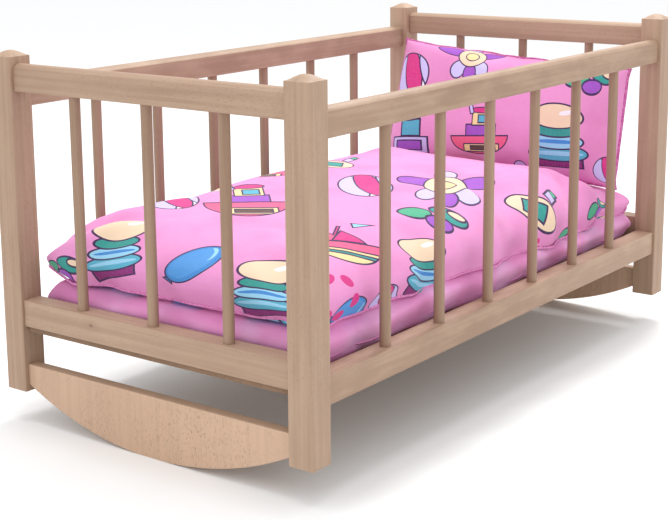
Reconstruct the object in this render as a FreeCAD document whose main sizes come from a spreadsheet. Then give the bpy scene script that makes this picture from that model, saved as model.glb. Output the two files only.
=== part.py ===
"""Wooden rocking cradle with bedding, as a parametric FreeCAD document.

The cradle lies along X, foot end at -X and head end at +X. Y runs from the near side (-Y) to the
far side (+Y) and Z is up. The origin is on the floor, under the middle of the cradle, where both
rockers touch. All sizes are in millimetres.
"""
import FreeCAD, Part
import math
import os

import Sketcher
from FreeCAD import Placement, Rotation, Vector

os.makedirs("parts", exist_ok=True)
doc = FreeCAD.newDocument("RockingCradle")

X_AXIS = Vector(1, 0, 0)
Y_AXIS = Vector(0, 1, 0)
Z_AXIS = Vector(0, 0, 1)
LEFT_TO_RIGHT = Rotation(Y_AXIS, 90)      # turns a cylinder's axis from Z to X
FRONT_TO_BACK = Rotation(X_AXIS, -90)     # turns a cylinder's axis from Z to Y
UPRIGHT = Rotation()

# ---------------------------------------------------------------------------------------------
# Driving dimensions
# ---------------------------------------------------------------------------------------------
DIMENSIONS = [
    # the box of the frame
    ("frame_length", 536, "over the posts, foot to head"),
    ("frame_width", 290, "over the posts, side to side"),
    # posts
    ("post_side", 20, "square section"),
    ("post_foot", 25, "height of the foot above the floor"),
    ("post_crease", 277, "height where the flat faces end"),
    ("post_dome", 4, "rise of the domed top above the crease"),
    ("edge_ease", 0.8, "radius that takes the sharpness off a long edge"),
    # top rails, with an arched upper face
    ("top_rail_thick", 12, "thickness"),
    ("top_rail_flank", 17, "height of the flat faces"),
    ("top_rail_arch", 3, "rise of the arch"),
    ("top_rail_inset", 3, "set back from the posts' outer faces"),
    ("side_top_rail_base", 239, "underside of the side rails"),
    ("end_top_rail_base", 252, "underside of the end rails"),
    # bottom rails
    ("bottom_rail_thick", 16, "thickness"),
    ("bottom_rail_tall", 20, "height"),
    ("bottom_rail_inset", 2, "set back from the posts' outer faces"),
    ("side_bottom_rail_base", 64, "underside of the side rails"),
    ("end_bottom_rail_base", 76, "underside of the end rails"),
    ("rail_ease", 0.5, "radius on the rails' edges"),
    # bars
    ("bar_diameter", 8, "round bar"),
    ("bar_pitch", 69, "centre to centre"),
    ("bar_line", 9, "centre of a bar from the posts' outer faces"),
    ("bar_socket", 8, "depth of the blind holes in the rails"),
    ("glue_gap", 0.25, "room left at the bottom of a blind hole"),
    # rockers
    ("rocker_thick", 9, "thickness"),
    ("rocker_top", 46, "height of the straight upper edge"),
    ("rocker_radius", 270, "radius of the arc that rolls on the floor"),
    ("rocker_flat", 30, "short flat at the middle of the arc"),
    ("rocker_inset", 3.5, "set back from the posts' outer faces"),
    # hidden dowels
    ("dowel_diameter", 6, "rail dowels"),
    ("dowel_in_post", 14, "length inside a post"),
    ("dowel_in_rail", 16, "length inside a rail"),
    ("dowel_spacing", 7, "between the two dowels of a joint"),
    ("side_top_dowel", 3.5, "lower dowel above the side top rail's underside"),
    ("end_top_dowel", 5, "lower dowel above the end top rail's underside"),
    ("side_bottom_dowel", 4, "lower dowel above the side bottom rail's underside"),
    ("end_bottom_dowel", 8, "lower dowel above the end bottom rail's underside"),
    ("rocker_dowel_diameter", 5, "rocker dowels"),
    ("rocker_dowel_reach", 12, "length inside a post, and inside a rocker"),
    ("rocker_dowel_height", 35, "lower rocker dowel above the floor"),
    # base panel and its pins
    ("base_thick", 4, "thickness"),
    ("base_end_setback", 4, "panel's end from the posts' outer faces"),
    ("base_post_gap", 3, "panel's long edge from the posts' inner faces"),
    ("base_groove", 4, "depth of the groove in the side bottom rails"),
    ("base_play", 0.5, "room around the panel in its groove"),
    ("pin_shank", 1.4, "diameter of the panel pins"),
    ("pin_head", 3.2, "diameter of their heads"),
    ("pin_head_thick", 0.8, "thickness of their heads"),
    ("pin_length", 14, "over all"),
    ("pin_spacing", 70, "between neighbouring pins"),
    # bedding
    ("soft_gap", 0.3, "between one soft piece and the next"),
    ("mattress_length", 492, "along the cradle"),
    ("mattress_width", 244, "across the cradle"),
    ("mattress_top", 107, "height of its upper face"),
    ("mattress_corner", 18, "radius of its upright corners"),
    ("mattress_edge", 11, "radius of its other edges"),
    ("duvet_length", 500, "along the cradle"),
    ("duvet_width", 256, "across the cradle"),
    ("duvet_top", 150, "height of its puffed part"),
    ("duvet_head_top", 126.5, "height of the flattened part under the pillow"),
    ("duvet_puff_end", 180, "where the puffed part starts to slope down"),
    ("duvet_slope_end", 196, "where the slope meets the flattened part"),
    ("duvet_edge", 9, "radius of its edges"),
    ("pillow_width", 240, "across the cradle"),
    ("pillow_tall", 118, "from the seam it stands on to its upper seam"),
    ("pillow_thick", 38, "at the middle"),
    ("pillow_seam", 6, "thickness at the seams"),
    ("pillow_lean", 18.5, "degrees back from upright"),
    ("pillow_foot", 206, "where the lower seam stands, from the middle of the cradle"),
    ("pillow_foot_height", 128.5, "height of the lower seam's middle"),
]

sizes = doc.addObject("Spreadsheet::Sheet", "Sizes")
for row, (alias, value, meaning) in enumerate(DIMENSIONS, start=1):
    sizes.set(f"A{row}", alias)
    sizes.set(f"B{row}", str(value))
    sizes.set(f"C{row}", meaning)
    sizes.setAlias(f"B{row}", alias)
doc.recompute()


def size(alias):
    """The value of one driving dimension."""
    return float(sizes.get(alias))


def cells(text):
    """An expression in which every driving dimension's name points at the sheet."""
    words = []
    for word in text.replace("(", " ( ").replace(")", " ) ").split():
        words.append(f"Sizes.{word}" if word in ALIASES else word)
    return " ".join(words)


ALIASES = {alias for alias, _, _ in DIMENSIONS}
ENDS = {"foot": -1, "head": 1}
SIDES = {"near": -1, "far": 1}
BARS_PER_SIDE = 6
BARS_PER_END = 3
PINS_PER_END = 4


# ---------------------------------------------------------------------------------------------
# Helpers
# ---------------------------------------------------------------------------------------------
def bind(obj, **properties):
    """Bind properties of an object to expressions of the driving dimensions."""
    for name, text in properties.items():
        obj.setExpression(name, cells(text))


def place(obj, x="0", y="0", z="0", rotation=UPRIGHT):
    """Turn an object and bind its position to expressions."""
    obj.Placement = Placement(Vector(0, 0, 0), rotation)
    for axis, text in zip("xyz", (x, y, z)):
        obj.setExpression(f"Placement.Base.{axis}", cells(text))
    return obj


def rod(name, diameter, length, x="0", y="0", z="0", rotation=UPRIGHT):
    """A cylinder that starts at a point and runs along its turned Z axis."""
    cylinder = doc.addObject("Part::Cylinder", name)
    bind(cylinder, Radius=f"( {diameter} ) / 2", Height=length)
    return place(cylinder, x, y, z, rotation)


def box(name, length, width, height, x, y, z):
    """A box bound to expressions, with its lowest corner at a point."""
    block = doc.addObject("Part::Box", name)
    bind(block, Length=length, Width=width, Height=height)
    return place(block, x, y, z)


def cut(name, base, tools):
    """One object minus a group of tools."""
    group = tools[0]
    if len(tools) > 1:
        group = doc.addObject("Part::MultiFuse", f"{name}_tools")
        group.Shapes = tools
    result = doc.addObject("Part::Cut", name)
    result.Base = base
    result.Tool = group
    return result


def group_of(name, members):
    """Loose solids, such as identical fasteners, as one node."""
    group = doc.addObject("Part::Compound", name)
    group.Links = members
    return group


def new_body(name):
    return doc.addObject("PartDesign::Body", name)


def sketch_on(body, role, name):
    """A sketch on one of a body's own origin planes."""
    sketch = body.newObject("Sketcher::SketchObject", name)
    plane = next(feature for feature in body.Origin.OriginFeatures if feature.Role == role)
    sketch.AttachmentSupport = [(plane, "")]
    sketch.MapMode = "FlatFace"
    return sketch


def constrain(sketch, name, text, *arguments):
    """A dimensional constraint with a name, bound to an expression."""
    index = sketch.addConstraint(Sketcher.Constraint(*arguments))
    sketch.renameConstraint(index, name)
    sketch.setExpression(f"Constraints.{name}", cells(text))


def pad(body, sketch, length):
    """A pad that grows the same amount both ways from its sketch."""
    feature = body.newObject("PartDesign::Pad", f"{body.Name}_pad")
    feature.Profile = sketch
    feature.SideType = "Symmetric"
    feature.setExpression("Length", cells(length))
    doc.recompute()
    return feature


def ease(body, feature, radius, wanted=None):
    """Round the edges of a feature that satisfy a test, or all of them."""
    rounding = body.newObject("PartDesign::Fillet", f"{feature.Name}_eased")
    edges = feature.Shape.Edges
    names = [f"Edge{n}" for n, edge in enumerate(edges, start=1) if wanted is None or wanted(edge)]
    rounding.Base = (feature, names)
    rounding.setExpression("Radius", cells(radius))
    body.Tip = rounding
    doc.recompute()
    return rounding


def is_upright(edge):
    """True for a straight edge along Z."""
    direction = edge.Vertexes[-1].Point - edge.Vertexes[0].Point
    return direction.Length > 1 and abs(direction.z) > 0.999 * direction.Length


EDGE_START = 1
EDGE_END = 2
CENTRE = 3
SKETCH_X = -1
SKETCH_Y = -2


def closed_chain(sketch, geometry):
    """Add the edges of a closed outline and join each one's end to the next one's start."""
    sketch.addGeometry(geometry, False)
    count = len(geometry)
    for edge in range(count):
        following = (edge + 1) % count
        sketch.addConstraint(Sketcher.Constraint("Coincident", edge, EDGE_END, following, EDGE_START))


def straight(x0, y0, x1, y1):
    return Part.LineSegment(Vector(x0, y0, 0), Vector(x1, y1, 0))


def bow(x0, y0, mid_x, mid_y, x1, y1):
    """A circular arc through three points of a sketch."""
    return Part.Arc(Vector(x0, y0, 0), Vector(mid_x, mid_y, 0), Vector(x1, y1, 0))


def rectangle(sketch, width, height, centred_up=False):
    """A rectangle centred across the sketch, standing on its X axis or centred on it."""
    half, tall = 5.0, 10.0
    low = -tall / 2 if centred_up else 0.0
    high = low + tall
    closed_chain(sketch, [
        straight(-half, low, half, low),
        straight(half, low, half, high),
        straight(half, high, -half, high),
        straight(-half, high, -half, low),
    ])
    for edge, kind in ((1, "Vertical"), (2, "Horizontal"), (3, "Vertical")):
        sketch.addConstraint(Sketcher.Constraint(kind, edge))
    if centred_up:
        opposite = Sketcher.Constraint("Symmetric", 0, EDGE_START, 1, EDGE_END, SKETCH_X, EDGE_START)
        sketch.addConstraint(opposite)
        sketch.addConstraint(Sketcher.Constraint("Horizontal", 0))
    else:
        sketch.addConstraint(Sketcher.Constraint("Symmetric", 0, EDGE_START, 0, EDGE_END, SKETCH_Y))
        sketch.addConstraint(Sketcher.Constraint("PointOnObject", 0, EDGE_START, SKETCH_X))
    constrain(sketch, "across", width, "DistanceX", 0, EDGE_START, 0, EDGE_END, 2 * half)
    constrain(sketch, "upward", height, "DistanceY", 1, EDGE_START, 1, EDGE_END, tall)


# ---------------------------------------------------------------------------------------------
# Blanks: each piece before it is drilled, in its own frame
# ---------------------------------------------------------------------------------------------
def domed_post():
    """A post standing on its origin, with eased long edges and a cushion-shaped top."""
    body = new_body("post_blank")
    sketch = sketch_on(body, "XY_Plane", "post_section")
    rectangle(sketch, "post_side", "post_side", centred_up=True)
    column = body.newObject("PartDesign::Pad", "post_column")
    column.Profile = sketch
    bind(column, Length="post_crease + post_dome - post_foot")
    doc.recompute()
    ease(body, column, "edge_ease", is_upright)
    trimmed = doc.addObject("Part::Common", "post_domed")
    trimmed.Base = body
    trimmed.Tool = dome_form()
    return trimmed


def dome_form():
    """A square column whose top is one smooth patch with four straight edges at the crease."""
    half = size("post_side") / 2
    crease = size("post_crease") - size("post_foot")
    crown = crease + 4 * size("post_dome")      # the patch passes a quarter of the way to its pole
    patch = Part.BezierSurface()
    patch.increase(2, 2)
    for i in range(3):
        for j in range(3):
            at_centre = i == 1 and j == 1
            height = crown if at_centre else crease
            patch.setPole(i + 1, j + 1, Vector((i - 1) * half, (j - 1) * half, height))
    top = patch.toShape()
    column = Part.makeBox(2 * half, 2 * half, crease, Vector(-half, -half, 0))
    walls = [face for face in column.Faces if face.CenterOfMass.z < crease - 1]
    solid = Part.Solid(Part.Shell(Part.makeCompound(walls + [top]).Faces))
    form = doc.addObject("Part::Feature", "post_dome_form")
    form.Shape = solid if solid.Volume > 0 else solid.reversed()
    return form


def top_rail_blank(name, length):
    """A top rail along X, standing on its origin: flat flanks and an arched upper face."""
    half = size("top_rail_thick") / 2
    flank = size("top_rail_flank")
    arch = size("top_rail_arch")
    body = new_body(name)
    sketch = sketch_on(body, "YZ_Plane", f"{name}_section")
    closed_chain(sketch, [
        straight(-half, 0, half, 0),
        straight(half, 0, half, flank),
        bow(half, flank, 0, flank + arch, -half, flank),
        straight(-half, flank, -half, 0),
    ])
    sketch.addConstraint(Sketcher.Constraint("Vertical", 1))
    sketch.addConstraint(Sketcher.Constraint("Vertical", 3))
    sketch.addConstraint(Sketcher.Constraint("Equal", 1, 3))
    sketch.addConstraint(Sketcher.Constraint("PointOnObject", 0, EDGE_START, SKETCH_X))
    sketch.addConstraint(Sketcher.Constraint("Symmetric", 0, EDGE_START, 0, EDGE_END, SKETCH_Y))
    constrain(sketch, "thick", "top_rail_thick", "DistanceX", 0, EDGE_START, 0, EDGE_END, 2 * half)
    constrain(sketch, "flank", "top_rail_flank", "DistanceY", 1, EDGE_START, 1, EDGE_END, flank)
    radius = "( top_rail_thick * top_rail_thick / 4 + top_rail_arch * top_rail_arch ) / ( 2 * top_rail_arch )"
    constrain(sketch, "bow", radius, "Radius", 2, (half * half + arch * arch) / (2 * arch))
    ease(body, pad(body, sketch, length), "rail_ease")
    return body


def bottom_rail_blank(name, length):
    """A bottom rail along X, standing on its origin."""
    body = new_body(name)
    sketch = sketch_on(body, "YZ_Plane", f"{name}_section")
    rectangle(sketch, "bottom_rail_thick", "bottom_rail_tall")
    ease(body, pad(body, sketch, length), "rail_ease")
    return body


def rocker_blank():
    """A rocker across the cradle: a board with a straight top and an arc that rolls on the floor.

    The middle of the arc is planed to a short flat, on which the cradle stands still.
    """
    half = size("frame_width") / 2 - size("post_side")
    top = size("rocker_top")
    radius = size("rocker_radius")
    flat = size("rocker_flat") / 2
    arc_centre = math.sqrt(radius * radius - flat * flat)
    end = arc_centre - math.sqrt(radius * radius - half * half)
    middle = (math.asin(half / radius) + math.asin(flat / radius)) / 2
    slant = radius * math.sin(middle)
    sag = arc_centre - radius * math.cos(middle)
    body = new_body("rocker_blank")
    sketch = sketch_on(body, "YZ_Plane", "rocker_outline")
    closed_chain(sketch, [
        straight(-half, top, -half, end),
        bow(-half, end, -slant, sag, -flat, 0),
        straight(-flat, 0, flat, 0),
        bow(flat, 0, slant, sag, half, end),
        straight(half, end, half, top),
        straight(half, top, -half, top),
    ])
    sketch.addConstraint(Sketcher.Constraint("Vertical", 0))
    sketch.addConstraint(Sketcher.Constraint("Vertical", 4))
    sketch.addConstraint(Sketcher.Constraint("Symmetric", 5, EDGE_START, 5, EDGE_END, SKETCH_Y))
    sketch.addConstraint(Sketcher.Constraint("Symmetric", 2, EDGE_START, 2, EDGE_END, SKETCH_Y))
    sketch.addConstraint(Sketcher.Constraint("PointOnObject", 2, EDGE_START, SKETCH_X))
    sketch.addConstraint(Sketcher.Constraint("PointOnObject", 1, CENTRE, SKETCH_Y))
    sketch.addConstraint(Sketcher.Constraint("PointOnObject", 3, CENTRE, SKETCH_Y))
    sketch.addConstraint(Sketcher.Constraint("Equal", 1, 3))
    constrain(sketch, "reach", "frame_width - 2 * post_side",
              "DistanceX", 5, EDGE_END, 5, EDGE_START, 2 * half)
    constrain(sketch, "flat_length", "rocker_flat",
              "DistanceX", 2, EDGE_START, 2, EDGE_END, 2 * flat)
    constrain(sketch, "roll", "rocker_radius", "Radius", 1, radius)
    constrain(sketch, "top_height", "rocker_top",
              "DistanceY", SKETCH_X, EDGE_START, 5, EDGE_START, top)
    ease(body, pad(body, sketch, "rocker_thick"), "rail_ease")
    return body


# ---------------------------------------------------------------------------------------------
# The dowelled joints. Each entry: underside of the rail, height of its lower dowel above that,
# and the distance of its dowels from the posts' outer faces.
# ---------------------------------------------------------------------------------------------
TOP_LINE = "top_rail_inset + top_rail_thick / 2"
BOTTOM_LINE = "bottom_rail_inset + bottom_rail_thick / 2"
ROCKER_LINE = "rocker_inset + rocker_thick / 2"
SIDE_JOINTS = {
    "top": ("side_top_rail_base", "side_top_dowel", TOP_LINE),
    "bottom": ("side_bottom_rail_base", "side_bottom_dowel", BOTTOM_LINE),
}
END_JOINTS = {
    "top": ("end_top_rail_base", "end_top_dowel", TOP_LINE),
    "bottom": ("end_bottom_rail_base", "end_bottom_dowel", BOTTOM_LINE),
}
DOWEL_PAIR = (0, 1)


def dowel_height(base, lower, number):
    return f"{base} + {lower} + {number} * dowel_spacing"


def rocker_dowel_height(number):
    return f"rocker_dowel_height + {number} * dowel_spacing"


def post(end, side):
    """A corner post, drilled for the two top rails, the two bottom rails and the rocker."""
    name = f"post_{end}_{side}"
    toward_end, toward_side = ENDS[end], SIDES[side]
    into_x = LEFT_TO_RIGHT if toward_end > 0 else Rotation(Y_AXIS, -90)
    into_y = FRONT_TO_BACK if toward_side > 0 else Rotation(X_AXIS, 90)
    face_x = f"-1 * {toward_end} * post_side / 2"
    face_y = f"-1 * {toward_side} * post_side / 2"
    holes = []
    for number in DOWEL_PAIR:
        for joint, (base, lower, line) in SIDE_JOINTS.items():
            holes.append(rod(f"{name}_side_{joint}_hole_{number}",
                             "dowel_diameter", "dowel_in_post + glue_gap",
                             x=face_x, y=f"{toward_side} * ( post_side / 2 - ( {line} ) )",
                             z=f"{dowel_height(base, lower, number)} - post_foot", rotation=into_x))
        for joint, (base, lower, line) in END_JOINTS.items():
            holes.append(rod(f"{name}_end_{joint}_hole_{number}",
                             "dowel_diameter", "dowel_in_post + glue_gap",
                             x=f"{toward_end} * ( post_side / 2 - ( {line} ) )", y=face_y,
                             z=f"{dowel_height(base, lower, number)} - post_foot", rotation=into_y))
        holes.append(rod(f"{name}_rocker_hole_{number}",
                         "rocker_dowel_diameter", "rocker_dowel_reach + glue_gap",
                         x=f"{toward_end} * ( post_side / 2 - ( {ROCKER_LINE} ) )", y=face_y,
                         z=f"{rocker_dowel_height(number)} - post_foot", rotation=into_y))
    drilled = cut(name, post_blank, holes)
    return place(drilled, x=f"{toward_end} * ( frame_length - post_side ) / 2",
                 y=f"{toward_side} * ( frame_width - post_side ) / 2", z="post_foot")


def end_grain_holes(name, length, lower):
    """The two dowel holes in each end of a rail that lies along X and stands on its origin."""
    holes = []
    for number in DOWEL_PAIR:
        for toward, rotation in ((-1, LEFT_TO_RIGHT), (1, Rotation(Y_AXIS, -90))):
            holes.append(rod(f"{name}_dowel_hole_{'left' if toward < 0 else 'right'}_{number}",
                             "dowel_diameter", "dowel_in_rail + glue_gap",
                             x=f"{toward} * ( {length} ) / 2",
                             z=f"{lower} + {number} * dowel_spacing", rotation=rotation))
    return holes


def socket_places(count):
    """Where the bars stand along a rail, as expressions from its middle."""
    return [f"( {number} - ( {count} - 1 ) / 2 ) * bar_pitch" for number in range(count)]


SIDE_LENGTH = "frame_length - 2 * post_side"
END_LENGTH = "frame_width - 2 * post_side"
BARS = {"side": BARS_PER_SIDE, "end": BARS_PER_END}
LENGTHS = {"side": SIDE_LENGTH, "end": END_LENGTH}


def drilled_top_rail(kind, lower):
    """A top rail with its bar sockets in the underside and its dowel holes."""
    name = f"{kind}_top_rail"
    blank = top_rail_blank(f"{name}_blank", LENGTHS[kind])
    holes = end_grain_holes(name, LENGTHS[kind], lower)
    for number, along in enumerate(socket_places(BARS[kind]), start=1):
        holes.append(rod(f"{name}_socket_{number}", "bar_diameter", "bar_socket", x=along))
    return cut(f"{name}_drilled", blank, holes)


def drilled_bottom_rail(kind, lower):
    """A bottom rail with its bar sockets, its dowel holes and its groove or pin holes.

    Its inner face looks along +Y before it is placed.
    """
    name = f"{kind}_bottom_rail"
    blank = bottom_rail_blank(f"{name}_blank", LENGTHS[kind])
    tools = end_grain_holes(name, LENGTHS[kind], lower)
    for number, along in enumerate(socket_places(BARS[kind]), start=1):
        tools.append(rod(f"{name}_socket_{number}", "bar_diameter", "bar_socket",
                         x=along, y="bar_line - ( " + BOTTOM_LINE + " )",
                         z="bottom_rail_tall - bar_socket"))
    if kind == "side":
        tools.append(box(f"{name}_groove", LENGTHS[kind], "base_groove", "base_thick",
                         x=f"-1 * ( {LENGTHS[kind]} ) / 2",
                         y="bottom_rail_thick / 2 - base_groove",
                         z="end_bottom_rail_base - base_thick - side_bottom_rail_base"))
    else:
        for number, along in enumerate(pin_places(), start=1):
            tools.append(rod(f"{name}_pin_hole_{number}", "pin_shank", "pin_length - base_thick",
                             x=along))
    return cut(f"{name}_drilled", blank, tools)


def pin_places():
    """Where the panel pins stand across the cradle, as expressions from its middle."""
    return [f"( {number} - ( {PINS_PER_END} - 1 ) / 2 ) * pin_spacing" for number in range(PINS_PER_END)]


INWARD_TURN = {"near": 0, "far": 180, "foot": -90, "head": 90}


def rail_node(name, drilled, where, line, base):
    """A rail in its place: a copy of the drilled one, turned so that its inner face looks inward."""
    node = doc.addObject("Part::Compound", name)
    node.Links = [drilled]
    turn = Rotation(Z_AXIS, INWARD_TURN[where])
    if where in SIDES:
        return place(node, y=f"{SIDES[where]} * ( frame_width / 2 - ( {line} ) )", z=base, rotation=turn)
    return place(node, x=f"{ENDS[where]} * ( frame_length / 2 - ( {line} ) )", z=base, rotation=turn)


def bars():
    """The round bars of the two sides and the two ends, numbered from the foot and the near side."""
    nodes = []
    for where, toward in {**SIDES, **ENDS}.items():
        kind = "side" if where in SIDES else "end"
        across = f"{toward} * ( {'frame_width' if kind == 'side' else 'frame_length'} / 2 - bar_line )"
        floor = f"{kind}_bottom_rail_base + bottom_rail_tall - bar_socket + glue_gap"
        length = f"{kind}_top_rail_base + bar_socket - glue_gap - ( {floor} )"
        for number, along in enumerate(socket_places(BARS[kind]), start=1):
            x, y = (along, across) if kind == "side" else (across, along)
            nodes.append(rod(f"bar_{where}_{number}", "bar_diameter", length, x=x, y=y, z=floor))
    return nodes


def rockers():
    """The rocker boards, drilled at both ends, one between each pair of posts."""
    holes = []
    for number in DOWEL_PAIR:
        for toward, rotation in ((-1, FRONT_TO_BACK), (1, Rotation(X_AXIS, 90))):
            holes.append(rod(f"rocker_hole_{'near' if toward < 0 else 'far'}_{number}",
                             "rocker_dowel_diameter", "rocker_dowel_reach + glue_gap",
                             y=f"{toward} * ( {END_LENGTH} ) / 2",
                             z=rocker_dowel_height(number), rotation=rotation))
    drilled = cut("rocker_drilled", rocker_blank(), holes)
    nodes = []
    for end, toward in ENDS.items():
        node = doc.addObject("Part::Compound", f"rocker_{end}")
        node.Links = [drilled]
        nodes.append(place(node, x=f"{toward} * ( frame_length / 2 - ( {ROCKER_LINE} ) )"))
    return nodes


def dowel_start(toward, extent):
    """Where a rail dowel begins: it straddles the joint between a post and a rail."""
    length = "dowel_in_post + dowel_in_rail"
    shift = f"( {toward} * ( dowel_in_post - dowel_in_rail ) - ( {length} ) ) / 2"
    return f"{toward} * ( {extent} / 2 - post_side ) + {shift}"


def rail_dowels(level):
    """All the dowels that hold the four rails of one level, as loose solids of one node."""
    length = "dowel_in_post + dowel_in_rail"
    members = []
    for end, toward_end in ENDS.items():
        for side, toward_side in SIDES.items():
            for number in DOWEL_PAIR:
                name = f"{level}_dowel_{end}_{side}_{number}"
                base, lower, line = SIDE_JOINTS[level]
                members.append(rod(f"{name}_side", "dowel_diameter", length,
                                   x=dowel_start(toward_end, "frame_length"),
                                   y=f"{toward_side} * ( frame_width / 2 - ( {line} ) )",
                                   z=dowel_height(base, lower, number), rotation=LEFT_TO_RIGHT))
                base, lower, line = END_JOINTS[level]
                members.append(rod(f"{name}_end", "dowel_diameter", length,
                                   x=f"{toward_end} * ( frame_length / 2 - ( {line} ) )",
                                   y=dowel_start(toward_side, "frame_width"),
                                   z=dowel_height(base, lower, number), rotation=FRONT_TO_BACK))
    return group_of(f"{level}_rail_dowels", members)


def rocker_dowels():
    """The dowels at both ends of both rockers."""
    members = []
    for end, toward_end in ENDS.items():
        for side, toward_side in SIDES.items():
            for number in DOWEL_PAIR:
                members.append(rod(f"rocker_dowel_{end}_{side}_{number}",
                                   "rocker_dowel_diameter", "2 * rocker_dowel_reach",
                                   x=f"{toward_end} * ( frame_length / 2 - ( {ROCKER_LINE} ) )",
                                   y=f"{toward_side} * ( frame_width / 2 - post_side ) - rocker_dowel_reach",
                                   z=rocker_dowel_height(number), rotation=FRONT_TO_BACK))
    return group_of("rocker_dowels", members)


# ---------------------------------------------------------------------------------------------
# Base panel
# ---------------------------------------------------------------------------------------------
BASE_UNDERSIDE = "end_bottom_rail_base - base_thick"
PIN_LINE = "frame_length / 2 - ( " + BOTTOM_LINE + " )"


def base_panel():
    """A thin sheet: its long edges lie in the side rails' grooves, its ends under the end rails."""
    long_x = "frame_length / 2 - base_end_setback"
    long_y = "frame_width / 2 - post_side - base_post_gap"
    wide_x = "frame_length / 2 - post_side - base_play"
    wide_y = "frame_width / 2 - bottom_rail_inset - bottom_rail_thick + base_groove - base_play"
    sheet = doc.addObject("Part::Fuse", "base_sheet")
    sheet.Base = box("base_sheet_long", f"2 * ( {long_x} )", f"2 * ( {long_y} )", "base_thick",
                     f"-1 * ( {long_x} )", f"-1 * ( {long_y} )", BASE_UNDERSIDE)
    sheet.Tool = box("base_sheet_wide", f"2 * ( {wide_x} )", f"2 * ( {wide_y} )", "base_thick",
                     f"-1 * ( {wide_x} )", f"-1 * ( {wide_y} )", BASE_UNDERSIDE)
    sheet.Refine = True
    holes = []
    for end, toward in ENDS.items():
        for number, along in enumerate(pin_places(), start=1):
            holes += pin_solids(f"base_hole_{end}_{number}", f"{toward} * ( {PIN_LINE} )", along)
    return cut("base_panel", sheet, holes)


def pin_solids(name, x, y):
    """The head and the shank of one panel pin, driven upwards from below."""
    head = rod(f"{name}_head", "pin_head", "pin_head_thick", x=x, y=y, z=BASE_UNDERSIDE)
    shank = rod(f"{name}_shank", "pin_shank", "pin_length", x=x, y=y, z=BASE_UNDERSIDE)
    return [head, shank]


def base_panel_pins():
    """The pins that hold the panel up against the end rails."""
    members = []
    for end, toward in ENDS.items():
        for number, along in enumerate(pin_places(), start=1):
            pin = doc.addObject("Part::MultiFuse", f"pin_{end}_{number}")
            pin.Shapes = pin_solids(f"pin_{end}_{number}", f"{toward} * ( {PIN_LINE} )", along)
            members.append(pin)
    return group_of("base_panel_pins", members)


# ---------------------------------------------------------------------------------------------
# Bedding: plain closed solids that hold the right space
# ---------------------------------------------------------------------------------------------
def mattress():
    """A thin pad on the base panel, between the rails."""
    body = new_body("mattress")
    sketch = sketch_on(body, "XY_Plane", "mattress_outline")
    rectangle(sketch, "mattress_length", "mattress_width", centred_up=True)
    slab = body.newObject("PartDesign::Pad", "mattress_slab")
    slab.Profile = sketch
    bind(slab, Length="mattress_top - end_bottom_rail_base - soft_gap")
    doc.recompute()
    cornered = ease(body, slab, "mattress_corner", is_upright)
    ease(body, cornered, "mattress_edge", lambda edge: not is_upright(edge))
    return place(body, z="end_bottom_rail_base + soft_gap")


def duvet():
    """A puffed cover that lies on the mattress and is flattened where the pillow stands."""
    half = size("duvet_length") / 2
    top = size("duvet_top")
    low = size("mattress_top")
    head_top = size("duvet_head_top")
    body = new_body("duvet")
    sketch = sketch_on(body, "XZ_Plane", "duvet_profile")
    closed_chain(sketch, [
        straight(-half, low, half, low),
        straight(half, low, half, head_top),
        straight(half, head_top, size("duvet_slope_end"), head_top),
        straight(size("duvet_slope_end"), head_top, size("duvet_puff_end"), top),
        straight(size("duvet_puff_end"), top, -half, top),
        straight(-half, top, -half, low),
    ])
    for edge in (2, 4):
        sketch.addConstraint(Sketcher.Constraint("Horizontal", edge))
    for edge in (1, 5):
        sketch.addConstraint(Sketcher.Constraint("Vertical", edge))
    sketch.addConstraint(Sketcher.Constraint("Symmetric", 0, EDGE_START, 0, EDGE_END, SKETCH_Y))
    heights = (("underside", "mattress_top + soft_gap", 0), ("flat_top", "duvet_head_top", 2),
               ("puffed_top", "duvet_top", 4))
    for name, text, edge in heights:
        constrain(sketch, name, text, "DistanceY", SKETCH_X, EDGE_START, edge, EDGE_START, top)
    constrain(sketch, "length", "duvet_length", "DistanceX", 0, EDGE_START, 0, EDGE_END, 2 * half)
    constrain(sketch, "puff_end", "duvet_puff_end",
              "DistanceX", SKETCH_X, EDGE_START, 4, EDGE_START, size("duvet_puff_end"))
    constrain(sketch, "slope_end", "duvet_slope_end",
              "DistanceX", SKETCH_X, EDGE_START, 3, EDGE_START, size("duvet_slope_end"))
    slab = pad(body, sketch, "duvet_width")
    ease(body, slab, "duvet_edge")
    return body


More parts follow.
